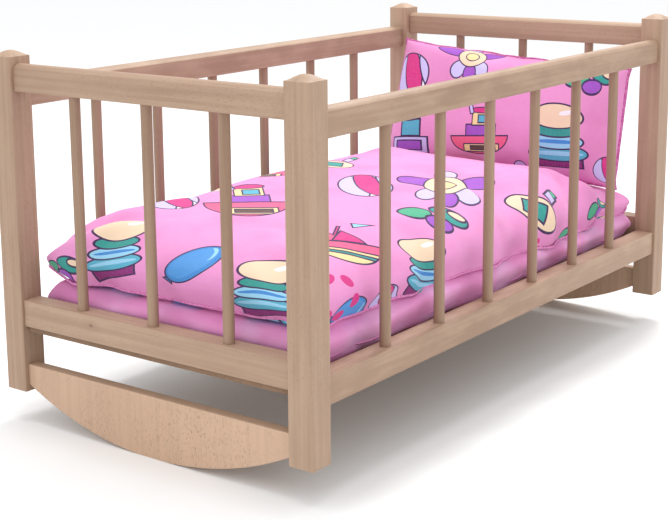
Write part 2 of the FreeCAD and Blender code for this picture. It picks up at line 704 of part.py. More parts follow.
def pillow():
    """A cushion that stands on the duvet and leans back towards the head end."""
    tall = size("pillow_tall")
    seam = size("pillow_seam") / 2
    belly = size("pillow_thick") / 2
    body = new_body("pillow")
    sketch = sketch_on(body, "XZ_Plane", "pillow_profile")
    closed_chain(sketch, [
        straight(-seam, 0, seam, 0),
        bow(seam, 0, belly, tall / 2, seam, tall),
        straight(seam, tall, -seam, tall),
        bow(-seam, tall, -belly, tall / 2, -seam, 0),
    ])
    sketch.addConstraint(Sketcher.Constraint("Equal", 0, 2))
    sketch.addConstraint(Sketcher.Constraint("PointOnObject", 0, EDGE_START, SKETCH_X))
    sketch.addConstraint(Sketcher.Constraint("Symmetric", 0, EDGE_START, 0, EDGE_END, SKETCH_Y))
    sketch.addConstraint(Sketcher.Constraint("Symmetric", 2, EDGE_START, 2, EDGE_END, SKETCH_Y))
    sketch.addConstraint(Sketcher.Constraint("Equal", 1, 3))
    constrain(sketch, "seam", "pillow_seam", "DistanceX", 0, EDGE_START, 0, EDGE_END, 2 * seam)
    constrain(sketch, "tall", "pillow_tall", "DistanceY", 1, EDGE_START, 1, EDGE_END, tall)
    rise = belly - seam
    bulge = "( pillow_thick - pillow_seam ) / 2"
    radius = f"( pillow_tall * pillow_tall / 4 + {bulge} * {bulge} ) / ( 2 * {bulge} )"
    constrain(sketch, "belly", radius, "Radius", 1, (tall * tall / 4 + rise * rise) / (2 * rise))
    slab = pad(body, sketch, "pillow_width")
    body.Tip = slab
    return place(body, x="pillow_foot", z="pillow_foot_height",
                 rotation=Rotation(Y_AXIS, size("pillow_lean")))


# ---------------------------------------------------------------------------------------------
# The assembly
# ---------------------------------------------------------------------------------------------
post_blank = domed_post()
nodes = [post(end, side) for end in ENDS for side in SIDES]

drilled_rails = {
    ("side", "top"): drilled_top_rail("side", "side_top_dowel"),
    ("end", "top"): drilled_top_rail("end", "end_top_dowel"),
    ("side", "bottom"): drilled_bottom_rail("side", "side_bottom_dowel"),
    ("end", "bottom"): drilled_bottom_rail("end", "end_bottom_dowel"),
}
RAIL_LINES = {"top": TOP_LINE, "bottom": BOTTOM_LINE}
for (kind, level), drilled in drilled_rails.items():
    for where in (SIDES if kind == "side" else ENDS):
        nodes.append(rail_node(f"{level}_rail_{where}", drilled, where, RAIL_LINES[level],
                               f"{kind}_{level}_rail_base"))

nodes += bars()
nodes += rockers()
nodes += [rail_dowels("top"), rail_dowels("bottom"), rocker_dowels()]
nodes += [base_panel(), base_panel_pins()]
nodes += [mattress(), duvet(), pillow()]

for node in nodes:
    node.Label = node.Name
doc.recompute()

# ---------------------------------------------------------------------------------------------
# Checks and export
# ---------------------------------------------------------------------------------------------
failed = [obj.Name for obj in doc.Objects if "Invalid" in obj.State or "Error" in obj.State]
if failed:
    raise RuntimeError(f"failed objects: {failed}")
for node in nodes:
    if node.Shape.isNull() or not node.Shape.isValid() or not node.Shape.Solids:
        raise RuntimeError(f"{node.Label} has no valid solid")
for node in nodes:
    node.Shape.exportStep(f"parts/{node.Label}.step")
    bounds = node.Shape.BoundBox
    print(f"{node.Label:22s} solids {len(node.Shape.Solids):3d}  volume {node.Shape.Volume:11.1f}  "
          f"x {bounds.XMin:7.1f} {bounds.XMax:7.1f}  y {bounds.YMin:7.1f} {bounds.YMax:7.1f}  "
          f"z {bounds.ZMin:6.1f} {bounds.ZMax:6.1f}")
print(f"{len(nodes)} nodes")
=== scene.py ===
"""A doll's rocking cradle with its bedding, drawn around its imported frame.

The file is laid out as an add-on. Each operator makes one piece, or one group of like pieces: the
bare beech of the frame, the under-mattress, the printed duvet and the printed pillow, with their
seams and stitches, and the studio that they stand in. Sizes are in metres, in the frame's own axes:
X from the foot to the head, Y from the near side to the far side, and Z up.
"""

import math

import bpy
import numpy as np
from mathutils import Matrix, Vector


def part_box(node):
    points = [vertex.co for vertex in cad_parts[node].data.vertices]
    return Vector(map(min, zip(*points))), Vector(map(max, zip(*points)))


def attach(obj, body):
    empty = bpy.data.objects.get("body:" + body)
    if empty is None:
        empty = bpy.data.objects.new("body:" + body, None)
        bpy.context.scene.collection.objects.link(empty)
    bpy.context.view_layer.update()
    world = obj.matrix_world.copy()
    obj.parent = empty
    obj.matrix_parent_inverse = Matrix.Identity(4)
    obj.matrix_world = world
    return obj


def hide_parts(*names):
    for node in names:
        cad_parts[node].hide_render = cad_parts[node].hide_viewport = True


bl_info = {
    "name": "Rocking Cradle",
    "version": (1, 0, 0),
    "blender": (4, 5, 0),
    "location": "3D View > Sidebar > Cradle",
    "description": "Beech, bedding and studio for a doll's rocking cradle",
    "category": "Object",
}

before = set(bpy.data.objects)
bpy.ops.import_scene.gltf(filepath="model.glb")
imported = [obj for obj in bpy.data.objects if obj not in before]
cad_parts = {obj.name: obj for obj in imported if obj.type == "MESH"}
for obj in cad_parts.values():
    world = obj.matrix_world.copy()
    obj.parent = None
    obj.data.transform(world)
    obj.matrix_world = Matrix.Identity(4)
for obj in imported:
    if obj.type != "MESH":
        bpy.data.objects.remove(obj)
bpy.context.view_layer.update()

MM = 0.001
CLOTH_MAP = "cloth"
WEAVE_THREAD = 0.0004         # from one thread of the cotton to the next

# Lengths are in metres. How wide the slopes of each panel are: for X and then Y, at the low end and
# at the high end.
MATTRESS_SLOPES = ((0.014, 0.014), (0.022, 0.014))
MATTRESS_UNDER = ((0.010, 0.010), (0.010, 0.010))
DUVET_SLOPES = ((0.056, 0.040), (0.052, 0.034))
DUVET_UNDER = ((0.012, 0.012), (0.012, 0.012))
PILLOW_SLOPES = ((0.070, 0.070), (0.050, 0.050))

MATTRESS_SEAM_SHARE = 0.28    # how far up the mattress its seam is
MATTRESS_SPARE = 0.004        # how far the mattress may swell past its place
MATTRESS_BULGE = 0.0035       # how far its upper part swells out over the rails
MATTRESS_BULGE_TALL = 0.008   # how far above its seam it is as wide as that
MATTRESS_SLACK = 0.55         # how flat its corners are
MATTRESS_TUCK = (0.003, 0.004)    # how far its seam is rolled in, and over what height
MATTRESS_WAVES = 0.0012       # how far its long sides wave in and out
MATTRESS_SAG = 0.004          # how far it is pressed down at its near side
DUVET_SEAM_HEIGHT = 0.003     # how far its seam is above its underside
DUVET_TUCK = (0.010, 0.010)
DUVET_PUFF = 0.0035           # how much the middle of the duvet stands up
DUVET_DROOP = 0.0055          # how far its near edge hangs down over the mattress
DUVET_DROOP_MORE = 0.0035     # and how much further towards the head
DUVET_CORNER_LIFT = 0.008     # how far its far foot corner turns up
DUVET_CORNER_OUT = 0.004      # and how far it goes out
DUVET_SPARE_BELOW = 0.009     # how far the duvet may hang below its place
DUVET_SPARE_ABOVE = 0.003     # and how far it may rise above it
PILLOW_GAP = 0.0015           # between the pressed duvet and the pillow
PILLOW_TALL = 0.118           # from its lower seam to its upper seam
PILLOW_THICK = 0.038          # in the middle
PILLOW_WAIST = (0.020, 0.050)     # how much its sides pull in between the corners, as a share
PILLOW_PRESS = (0.172, 0.202)     # where along X the duvet goes down under it
KNOT_PLACE = (0.72, 0.62)     # across and up the foot's lower rail, as shares

# For each cushion: how much larger its cloth is cut, and how deep a crease can be.
MATTRESS_CREASES = (0.045, 0.0045)
DUVET_CREASES = (0.035, 0.0048)
PILLOW_CREASES = (0.032, 0.0040)
CREASE_ROUNDS = 60            # rounds of averaging that find a cushion's slow changes of shape
COTTON_CLOTH = {"quality": 5, "mass": 0.12, "tension_stiffness": 30.0,
                "compression_stiffness": 30.0, "shear_stiffness": 10.0}

FLOOR_RADIUS = 9.0
FLOOR_SIDES = 96
LAMP_AIM = (0, 0, 0.12)       # the point that both lamps face
OVERHEAD_LAMP = ((-0.15, 0.0, 1.8), 1.0)     # its place and its side
BACK_LAMP = ((0.95, 0.15, 1.35), 0.4)
CAMERA_PLACE = (-0.9728, -0.6822, 0.3905)
CAMERA_TURN = (37.31, 11.60, 0.66)           # yaw, pitch down and roll, in degrees
CAMERA_SHIFT = (0.036, -0.10)                # of the lens, in widths of the picture
CAMERA_SENSOR = 36.0                         # its width in millimetres

# Soft folds in the duvet, seen from above: start, end, half width and height, in metres.
DUVET_FOLDS = [
    ((-0.010, -0.126), (0.050, -0.055), 0.010, 0.0050),
    ((0.030, -0.128), (0.085, -0.065), 0.008, -0.0045),
    ((0.080, -0.128), (0.140, -0.070), 0.010, 0.0055),
    ((0.135, -0.128), (0.178, -0.085), 0.008, -0.0060),
    ((0.190, -0.122), (0.225, -0.110), 0.007, -0.0045),
    ((-0.245, 0.128), (-0.190, 0.085), 0.010, -0.0050),
    ((-0.248, 0.095), (-0.200, 0.070), 0.009, 0.0035),
    ((-0.225, 0.128), (-0.160, 0.105), 0.009, 0.0035),
    ((-0.248, -0.105), (-0.205, -0.075), 0.012, -0.0030),
    ((-0.100, -0.128), (-0.080, -0.085), 0.012, -0.0030),
]


# ---- Settings that a user would change
def colour(name, default, description):
    """A colour that a user can change, in linear light."""
    return bpy.props.FloatVectorProperty(
        name=name, description=description, default=default, subtype="COLOR", size=3, min=0, max=1)


def length(name, default, description):
    """A length that a user can change, in metres."""
    return bpy.props.FloatProperty(name=name, description=description, default=default,
                                   subtype="DISTANCE", unit="LENGTH", min=0)


def number(name, default, description):
    """A plain number that a user can change."""
    return bpy.props.FloatProperty(name=name, description=description, default=default, min=0)


class CradleWoodSettings(bpy.types.PropertyGroup):
    """Colours and figure of the beech."""

    pale: colour("Pale wood", (0.470, 0.325, 0.230), "Between the growth lines")
    warm: colour("Warm wood", (0.330, 0.212, 0.142), "In the growth lines")
    fleck: colour("Flecks", (0.230, 0.130, 0.080), "The short ray flecks")
    knot: colour("Knot", (0.100, 0.055, 0.035), "The small knot in the foot rail")
    # The board's brown is its own colour, made darker as painted shade for the shadow it lies in under
    # the rails.
    board: colour("Base board", (0.190, 0.112, 0.065), "The thin sheet under the bedding")
    fleck_length: length("Fleck length", 0.0024, "Length of a ray fleck along the grain")


class CradleBeddingSettings(bpy.types.PropertyGroup):
    """Make of the mattress, the duvet and the pillow."""

    panel_step: length("Panel step", 0.0058, "Size of one face of a simulated panel")
    duvet_pressure: number("Duvet filling", 1.5, "Air pressure in the duvet while it settles")
    pillow_pressure: number("Pillow filling", 1.5, "Air pressure in the pillow while it settles")
    mattress_pressure: number("Mattress filling", 1.2, "Air pressure in the mattress")
    cloth_stiffness: number("Cloth stiffness", 0.35, "How much the cotton resists a sharp bend")
    settle_frames: bpy.props.IntProperty(
        name="Frames", description="Frames for which the cloth settles", default=20, min=1, max=80)
    stitch_spacing: length("Stitch spacing", 0.0052, "Distance from stitch to stitch")
    stitch_length: length("Stitch length", 0.0030, "Length of one stitch")
    thread: length("Thread", 0.0007, "Thickness of the sewing thread")
    seam: length("Seam", 0.0010, "Radius of the rolled edge where two panels are sewn")


class CradlePrintSettings(bpy.types.PropertyGroup):
    """Colours of the cotton and of its print."""

    ground: colour("Ground", (0.760, 0.290, 0.580), "The pink ground of the print")
    deep: colour("Deep ground", (0.640, 0.190, 0.440), "The deeper patches of the ground")
    plain: colour("Plain cotton", (0.720, 0.250, 0.530), "The mattress cover")
    lilac: colour("Lilac", (0.790, 0.460, 0.740), "The lilac patches of the mattress cover")
    seam: colour("Seam", (0.450, 0.070, 0.260), "The shaded fold beside a seam")
    thread: colour("Thread", (0.480, 0.110, 0.330), "The sewing thread")


class CradleStageSettings(bpy.types.PropertyGroup):
    """Floor, light and camera."""

    floor: colour("Floor", (0.900, 0.908, 0.915), "The plain pale floor")
    sky: number("Room light", 1.08, "Strength of the even light of the room")
    key: number("Key light", 10.0, "Power of the large soft lamp, in watts")
    back: number("Back light", 11.0, "Power of the lamp behind the head, in watts")
    lens: number("Lens", 79.0, "Focal length of the camera, in millimetres")


# ---- Node helpers
class Sheet:
    """A node tree being drawn up, with its nodes laid out from left to right."""

    def __init__(self, tree):
        self.tree = tree
        self.count = 0

    def node(self, kind, *values, **settings):
        """Adds a node. Values fill its inputs in order: a socket is linked, None is left alone."""
        made = self.tree.nodes.new(kind)
        made.location = (180 * (self.count % 40), -220 * (self.count // 40))
        self.count += 1
        for name, value in settings.items():
            setattr(made, name, value)
        for socket, value in zip(made.inputs, values):
            self.feed(socket, value)
        return made

    def feed(self, socket, value):
        """Gives one input its value or its link."""
        if isinstance(value, bpy.types.NodeSocket):
            self.tree.links.new(value, socket)
        elif value is not None:
            if socket.type == "RGBA" and len(value) == 3:
                value = (*value, 1.0)
            socket.default_value = value

    def fill(self, made, **values):
        """Fills a node's named inputs. A space in a name is written as an underscore."""
        for name, value in values.items():
            self.feed(made.inputs[name.replace("_", " ")], value)
        return made

    def math(self, operation, *values, clamp=False):
        """A Math node's result."""
        return self.node("ShaderNodeMath", *values, operation=operation, use_clamp=clamp).outputs[0]

    def vector(self, operation, *values):
        """A Vector Math node's result."""
        made = self.node("ShaderNodeVectorMath", *values, operation=operation)
        return made.outputs["Value" if operation == "LENGTH" else "Vector"]

    def blend(self, share, first, second, kind="Color"):
        """Two colours mixed, or two vectors where the kind is Vector."""
        made = self.node("ShaderNodeMix", data_type="RGBA" if kind == "Color" else "VECTOR")
        for name, value in (("Factor_Float", share), (f"A_{kind}", first), (f"B_{kind}", second)):
            self.feed(next(s for s in made.inputs if s.identifier == name), value)
        return next(s for s in made.outputs if s.identifier == f"Result_{kind}")

    def band(self, value, low, high, low_result=0.0, high_result=1.0):
        """A value's place between two limits, eased and kept within the two results."""
        return self.node("ShaderNodeMapRange", value, low, high, low_result, high_result,
                         interpolation_type="SMOOTHSTEP").outputs[0]

    def noise(self, point, scale, detail=2.0, roughness=0.5):
        """A noise texture's value."""
        return self.fill(self.node("ShaderNodeTexNoise"), Vector=point, Scale=scale,
                         Detail=detail, Roughness=roughness).outputs["Fac"]

    def here(self):
        """The point in the object's own axes."""
        return self.node("ShaderNodeTexCoord").outputs["Object"]

    def bumped(self, strength, distance, height, under=None):
        """A normal bent by a height."""
        return self.fill(self.node("ShaderNodeBump", strength, distance), Height=height,
                         Normal=under).outputs[0]

    def local(self, point, place, turn, size):
        """A point in the axes of something that is placed, turned and sized in a plane."""
        return self.node("ShaderNodeMapping", point, (*place, 0), (0, 0, math.radians(turn)),
                         (*size, 1), vector_type="TEXTURE").outputs[0]

    def stretched(self, point, scale, turn=(0, 0, 0), shift=(0, 0, 0)):
        """A point turned and then stretched."""
        return self.node("ShaderNodeMapping", point, shift, turn, scale,
                         vector_type="POINT").outputs[0]


def shader_group(name, inputs, outputs):
    """A new shader node group with its sockets: its Sheet, and its input and output nodes."""
    tree = bpy.data.node_groups.new(name, "ShaderNodeTree")
    kinds = {"number": "NodeSocketFloat", "point": "NodeSocketVector", "colour": "NodeSocketColor"}
    for socket, kind in inputs:
        tree.interface.new_socket(socket, in_out="INPUT", socket_type=kinds[kind])
    for socket, kind in outputs:
        tree.interface.new_socket(socket, in_out="OUTPUT", socket_type=kinds[kind])
    sheet = Sheet(tree)
    return sheet, sheet.node("NodeGroupInput"), sheet.node("NodeGroupOutput")


def use_group(sheet, group, **values):
    """Places a node group in a tree, with its named inputs filled."""
    return sheet.fill(sheet.node("ShaderNodeGroup", node_tree=group), **values)


def shared_group(name, build):
    """A node group made once and used again."""
    return bpy.data.node_groups.get(name) or build()


def new_material(name):
    """A material with a Principled BSDF: the material, its Sheet and the shader."""
    material = bpy.data.materials.new(name)
    material.use_nodes = True
    material.node_tree.nodes.clear()
    sheet = Sheet(material.node_tree)
    shader = sheet.node("ShaderNodeBsdfPrincipled")
    output = sheet.node("ShaderNodeOutputMaterial")
    material.node_tree.links.new(shader.outputs[0], output.inputs[0])
    return material, sheet, shader


# ---- Beech
def grain_group():
    """Growth lines, pores, ray flecks and slow changes of tone, for wood that runs along Z."""
    sheet, given, made = shader_group(
        "beech_grain",
        [("Point", "point"), ("Fleck Length", "number"), ("Figure", "number")],
        [("Growth", "number"), ("Fleck", "number"), ("Tone", "number"), ("Height", "number")])
    point = given.outputs["Point"]
    drift = sheet.noise(sheet.stretched(point, (9, 9, 2.2)), 1.0, 3.0)
    sway = sheet.node("ShaderNodeCombineXYZ", sheet.math("MULTIPLY", drift, 0.010),
                      sheet.math("MULTIPLY", drift, 0.006), 0.0).outputs[0]
    bent = sheet.vector("ADD", point, sway)
    lines = sheet.noise(sheet.stretched(bent, (330, 330, 7)), 1.0, 2.0, 0.55)
    broad = sheet.noise(sheet.stretched(bent, (90, 90, 2.5)), 1.0, 2.0)
    growth = sheet.math("ADD", sheet.math("MULTIPLY", lines, 0.55),
                        sheet.math("MULTIPLY", broad, 0.45))
    pores = sheet.noise(sheet.stretched(point, (2600, 2600, 90)), 1.0, 1.0)
    along = sheet.math("DIVIDE", 1.0, given.outputs["Fleck Length"])
    separate = sheet.node("ShaderNodeSeparateXYZ", point)
    fleck_point = sheet.node(
        "ShaderNodeCombineXYZ",
        sheet.math("MULTIPLY", separate.outputs[0], 2100.0),
        sheet.math("MULTIPLY", separate.outputs[1], 2100.0),
        sheet.math("MULTIPLY", separate.outputs[2], along)).outputs[0]
    cells = sheet.noise(fleck_point, 1.0, 0.0)
    patch = sheet.noise(sheet.stretched(point, (25, 25, 12)), 1.0, 2.0)
    fleck = sheet.math("MULTIPLY", sheet.band(cells, 0.66, 0.74), sheet.band(patch, 0.30, 0.62))
    tone = sheet.noise(sheet.stretched(point, (5, 5, 5)), 1.0, 1.0)
    figure = sheet.noise(sheet.stretched(point, (70, 70, 26), turn=(0.5, 0.62, 0)), 1.0, 2.0, 0.6)
    figured = sheet.math("MULTIPLY", sheet.math("SUBTRACT", figure, 0.5), given.outputs["Figure"])
    height = sheet.math("SUBTRACT", sheet.math("MULTIPLY", pores, 0.6),
                        sheet.math("MULTIPLY", fleck, 0.5))
    sheet.fill(made, Growth=sheet.math("ADD", growth, figured), Fleck=fleck, Tone=tone,
               Height=sheet.math("ADD", height, sheet.math("MULTIPLY", lines, 0.4)))
    return sheet.tree


GRAIN_TURN = {"x": (0, math.pi / 2, 0), "y": (math.pi / 2, 0, 0), "z": (0, 0, 0)}


def beech(name, grain, along, wood, figure, flecks, warmth=0.0, shade=1.0, contrast=0.30,
          knot=None):
    """Bare sanded beech whose grain runs along one axis of the frame."""
    material, sheet, shader = new_material(name)
    here = sheet.here()
    turned = sheet.stretched(here, (1, 1, 1), turn=GRAIN_TURN[along])
    figured = use_group(sheet, grain, Point=turned, Fleck_Length=wood.fleck_length, Figure=figure)
    share = sheet.band(figured.outputs["Growth"], 0.32, 0.68, 0.5 - contrast, 0.5 + contrast)
    share = sheet.math("ADD", share, sheet.math(
        "MULTIPLY", sheet.math("SUBTRACT", figured.outputs["Tone"], 0.5 - warmth), 0.9), clamp=True)
    pale, warm = ([shade * part for part in tone] for tone in (wood.pale, wood.warm))
    base = sheet.blend(share, pale, warm)
    base = sheet.blend(sheet.math("MULTIPLY", figured.outputs["Fleck"], flecks), base, wood.fleck)
    if knot is not None:
        away = sheet.vector("LENGTH", sheet.stretched(
            here, (1, 1, 1.6), shift=(-knot[0], -knot[1], -1.6 * knot[2])))
        base = sheet.blend(sheet.band(away, 0.0008, 0.0026, 0.85, 0.0), base, wood.knot)
        base = sheet.blend(sheet.band(away, 0.002, 0.012, 0.35, 0.0), base, wood.warm)
    height = figured.outputs["Height"]
    sheet.fill(shader, Base_Color=base, Roughness=sheet.band(height, 0.1, 0.8, 0.62, 0.50),
               Specular_IOR_Level=0.35, Normal=sheet.bumped(0.35, 0.0002, height))
    return material


def board_material(wood):
    """The thin brown sheet of the base, with the soft mottle of pressed fibres. Its brown is the
    sheet's own, set darker as painted shade for the shadow under the rails.
    """
    material, sheet, shader = new_material("base_board")
    here = sheet.here()
    fibres = sheet.noise(sheet.stretched(here, (260, 900, 900)), 1.0, 3.0, 0.6)
    mottle = sheet.noise(here, 60.0, 3.0)
    share = sheet.math("ADD", sheet.math("MULTIPLY", fibres, 0.6), sheet.math("MULTIPLY", mottle, 0.5))
    light = [1.35 * part for part in wood.board]
    sheet.fill(shader, Base_Color=sheet.blend(sheet.band(share, 0.35, 0.8), wood.board, light),
               Roughness=sheet.band(fibres, 0.3, 0.7, 0.78, 0.6),
               Normal=sheet.bumped(0.3, 0.0003, fibres))
    return material


def pin_material():
    """Bright steel with fine drawn lines, for the panel pins."""
    material, sheet, shader = new_material("pin_steel")
    here = sheet.here()
    drawn = sheet.noise(sheet.stretched(here, (3000, 3000, 200)), 1.0, 2.0)
    steel = sheet.blend(drawn, (0.56, 0.56, 0.58), (0.70, 0.70, 0.71))
    sheet.fill(shader, Base_Color=steel, Metallic=1.0,
               Roughness=sheet.band(drawn, 0.3, 0.7, 0.22, 0.38))
    return material


def paint_node(node, material):
    """Gives a carried-over piece of the frame its material."""
    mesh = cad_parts[node].data
    mesh.materials.clear()
    mesh.materials.append(material)


# ---- The print: plain nursery motifs, each a short list of shapes, drawn in millimetres
INK = (0.045, 0.018, 0.085)
CREAM = (0.800, 0.610, 0.440)
TEAL = (0.030, 0.300, 0.270)
SEA = (0.090, 0.400, 0.560)
SKY_BLUE = (0.290, 0.600, 0.820)
BLUE = (0.050, 0.240, 0.620)
BRIGHT_BLUE = (0.075, 0.300, 0.700)
BROWN = (0.110, 0.055, 0.040)
PLUM = (0.240, 0.020, 0.170)
VIOLET = (0.330, 0.080, 0.520)
LILAC = (0.560, 0.500, 0.840)
MAGENTA = (0.650, 0.030, 0.230)
ROSE = (0.780, 0.110, 0.250)
WHITE = (0.860, 0.830, 0.900)
SUN = (0.830, 0.640, 0.330)
LEAF = (0.060, 0.400, 0.230)

# Each shape: kind, centre across and up, half width and half height, turn in degrees, colour, and
# where one is given, the number of the shape that clips it. A cup is the lower half of a round, a
# gleam is a round with no outline, and a wedge is a triangle that stands on its centre.
STACKING_TOY = [
    ("block", 0, -27, 16, 5, 0, PLUM),
    ("round", 0, -17, 20, 8, 0, SEA),
    ("gleam", 0, -17, 17, 2.2, 0, SKY_BLUE, 1),
    ("round", 0, -6, 17, 7, 0, SKY_BLUE),
    ("gleam", 0, -6, 14, 1.8, 0, BLUE, 3),
    ("round", 0, 4, 14, 6, 0, TEAL),
    ("round", 0, 20, 17, 14, 0, CREAM),
    ("gleam", 6, 25, 4.5, 2.4, 30, WHITE, 6),
]
FLOWER = [
    ("round", 27, 9, 17, 8, 22, VIOLET),
    ("round", -27, 9, 17, 8, -22, VIOLET),
    ("round", 16, -17, 11, 9, -50, LILAC),
    ("round", -16, -17, 11, 9, 50, LILAC),
    ("round", 0, -22, 9, 10, 0, VIOLET),
    ("round", 0, 20, 10, 11, 0, LILAC),
    ("round", 0, 0, 19, 15, 0, CREAM),
    ("round", 0, 0, 9, 7, 0, SUN),
]
LEAVES = [
    ("round", -14, 0, 13, 6, 10, LEAF),
    ("round", 14, 2, 14, 6, -12, TEAL),
    ("round", 2, -6, 11, 5, 0, VIOLET),
    ("round", 20, 3, 7, 3, -12, CREAM, 1),
]
BEACH_BALL = [
    ("round", 0, 0, 23, 22, 0, WHITE),
    ("round", -13, -3, 14, 26, 18, LILAC, 0),
    ("round", 4, 3, 11, 24, 18, MAGENTA, 0),
    ("round", 22, 8, 9, 24, 18, LILAC, 0),
]
BALLOON = [
    ("wedge", -26, -8, 5, 7, -70, BLUE),
    ("round", 0, 0, 25, 17, 17, BLUE),
    ("gleam", -1, 1, 21, 13, 17, BRIGHT_BLUE, 1),
    ("gleam", 14, 5, 5, 8, -24, SKY_BLUE, 1),
    ("gleam", 10, 5.5, 6, 9, -24, BRIGHT_BLUE, 1),
]
SAILING_BOAT = [
    ("block", -2, 14, 1.2, 24, -24, MAGENTA),
    ("wedge", 19, 36, 5, 16, -98, SKY_BLUE),
    ("wedge", -10, 6, 14, 26, 0, ROSE),
    ("wedge", 7, 6, 13, 20, 0, MAGENTA),
    ("cup", 0, 5, 32, 24, 0, SUN),
    ("block", 0, 1, 40, 5, 0, ROSE, 4),
    ("block", 0, -9, 40, 1.6, 0, TEAL, 4),
]
TUG_BOAT = [
    ("cup", 0, 7, 39, 22, 0, ROSE),
    ("block", 3, -7, 24, 5, 0, SUN, 0),
    ("block", 5, -7, 17, 2.6, 0, BROWN, 0),
    ("block", 2, 13, 20, 6, 0, VIOLET),
    ("block", 4, 26, 14, 8, 0, SUN),
    ("block", 6, 25, 8, 4.5, 0, SEA),
    ("round", 4, 36, 16, 4, 0, MAGENTA),
    ("block", -12, 38, 2.5, 7, 12, LILAC),
]
BLOCK_TOWER = [
    ("block", 0, -14, 17, 10, 0, LILAC),
    ("block", 0, -14, 12, 6, 0, VIOLET),
    ("block", 2, 5, 9, 8, 0, SEA),
    ("round", 0, 17, 12, 5, 0, ROSE),
]
DOT_RING = [("round", across, up, 4, 6, turn, MAGENTA) for across, up, turn in (
    (16, 0, 0), (8, 14, 60), (-8, 14, -60), (-16, 0, 0), (-8, -14, 60), (8, -14, -60))]
PAINT_POT = [
    ("round", 0, 0, 21, 11, -18, CREAM),
    ("block", 0, 0, 9, 6, -18, TEAL),
    ("block", 19, 13, 7, 4, 38, LILAC),
    ("block", 25, 18, 4, 3, 38, LEAF),
]
MOTIFS = {
    "stacking_toy": STACKING_TOY, "flower": FLOWER, "leaves": LEAVES, "beach_ball": BEACH_BALL,
    "balloon": BALLOON, "sailing_boat": SAILING_BOAT, "tug_boat": TUG_BOAT,
    "block_tower": BLOCK_TOWER, "dot_ring": DOT_RING, "paint_pot": PAINT_POT,
}
INK_LINE = 0.75     # half the width of a drawn outline, in millimetres
PLAIN_EDGE = {"dot_ring"}     # motifs printed with no outline


def shape_distance(sheet, point, shape):
    """Signed distance in millimetres from a point to one shape, negative inside it."""
    kind, middle_x, middle_y, width, tall, turn = shape[:6]
    size = (1, 1) if kind == "wedge" else (width, tall)
    local = sheet.local(point, (middle_x, middle_y), turn, size)
    if kind in ("round", "gleam", "cup"):
        away = sheet.vector("LENGTH", local)
        slope = sheet.vector("LENGTH", sheet.vector("DIVIDE", local, (width, tall, 1)))
        distance = sheet.math("DIVIDE", sheet.math(
            "MULTIPLY", away, sheet.math("SUBTRACT", away, 1.0)), slope)
        if kind != "cup":
            return distance
        up = sheet.node("ShaderNodeSeparateXYZ", local).outputs[1]
        return sheet.math("MAXIMUM", distance, sheet.math("MULTIPLY", up, tall))
    if kind == "block":
        parts = sheet.node("ShaderNodeSeparateXYZ", sheet.vector("ABSOLUTE", local))
        across = sheet.math("MULTIPLY_ADD", parts.outputs[0], width, -width)
        up = sheet.math("MULTIPLY_ADD", parts.outputs[1], tall, -tall)
        return sheet.math("MAXIMUM", across, up)
    parts = sheet.node("ShaderNodeSeparateXYZ", local)
    slope = math.hypot(width, tall)
    up = sheet.math("MULTIPLY_ADD", parts.outputs[1], width / slope, -tall * width / slope)
    across = sheet.math("MULTIPLY", sheet.math("ABSOLUTE", parts.outputs[0]), tall / slope)
    return sheet.math("MAXIMUM", sheet.math("ADD", across, up),
                      sheet.math("MULTIPLY", parts.outputs[1], -1.0))


def motif_group(name):
    """A motif: the colour of the print at a point, and where the motif covers the ground."""
    sheet, given, made = shader_group(f"motif_{name}", [("Point", "point")],
                                      [("Color", "colour"), ("Mask", "number")])
    distances = []
    painted, mask = None, None
    line = 0.0 if name in PLAIN_EDGE else INK_LINE
    for shape in MOTIFS[name]:
        away = shape_distance(sheet, given.outputs["Point"], shape)
        drawn, *clip = shape[6:]
        if clip:
            away = sheet.math("MAXIMUM", away, distances[clip[0]])
        distances.append(away)
        edge = 0.0 if shape[0] == "gleam" else line
        inside = sheet.math("LESS_THAN", away, edge)
        if edge:
            drawn = sheet.blend(sheet.math("GREATER_THAN", away, -line), drawn, INK)
        painted = drawn if painted is None else sheet.blend(inside, painted, drawn)
        mask = inside if mask is None else sheet.math("MAXIMUM", mask, inside)
    sheet.fill(made, Color=painted, Mask=mask)
    return sheet.tree


# Where each motif is printed on a panel: centre in millimetres, turn in degrees, and sizes across
# and up the motif.
DUVET_PRINT = {
    "stacking_toy": [(-231, 61, -70, 1.35, 0.95), (-238, -80, -72, 1.30, 0.92),
                     (-94, -130, -20, 1.40, 0.85)],
    "balloon": [(-231, -15, -50, 0.95, 0.90), (-192, -145, -20, 0.70, 0.80),
                (45, 118, -50, 0.90, 0.90)],
    "tug_boat": [(-118, 30, -48, 0.86, 2.10), (-10, 110, -60, 0.90, 1.20)],
    "sailing_boat": [(-158, -88, -42, 0.90, 1.20), (190, 30, -50, 0.90, 1.10)],
    "beach_ball": [(-135, 92, -45, 0.90, 1.50), (2, 3, -52, 0.98, 1.90),
                   (-150, -150, 0, 0.80, 0.80), (120, 120, 0, 0.90, 0.90)],
    "flower": [(42, -50, -58, 0.95, 2.00)],
    "leaves": [(-40, -88, -42, 1.05, 2.10), (-262, 106, -75, 0.90, 1.10), (180, -132, 10, 0.80, 0.90),
               (128, -146, 0, 0.60, 0.90)],
    "paint_pot": [(76, -116, -32, 1.15, 1.45), (-75, 112, -50, 0.90, 1.30),
                  (62, 78, -50, 0.80, 1.50)],
    "dot_ring": [(-204, -128, -25, 0.95, 1.00), (68, -150, 0, 0.45, 0.50),
                 (-170, 128, 0, 0.90, 0.90)],
}
PILLOW_PRINT = {
    "flower": [(-36, 45, 6, 0.75, 0.80), (30, -62, 0, 0.70, 0.70)],
    "beach_ball": [(-92, 20, 6, 0.92, 0.85), (104, -38, 0, 0.60, 0.60)],
    "block_tower": [(-83, -28, 5, 1.10, 0.80)],
    "tug_boat": [(-13, -28, 6, 0.78, 0.72)],
    "stacking_toy": [(61, -14, 6, 1.15, 0.82)],
    "leaves": [(79, 38, 8, 0.70, 1.30)],
}


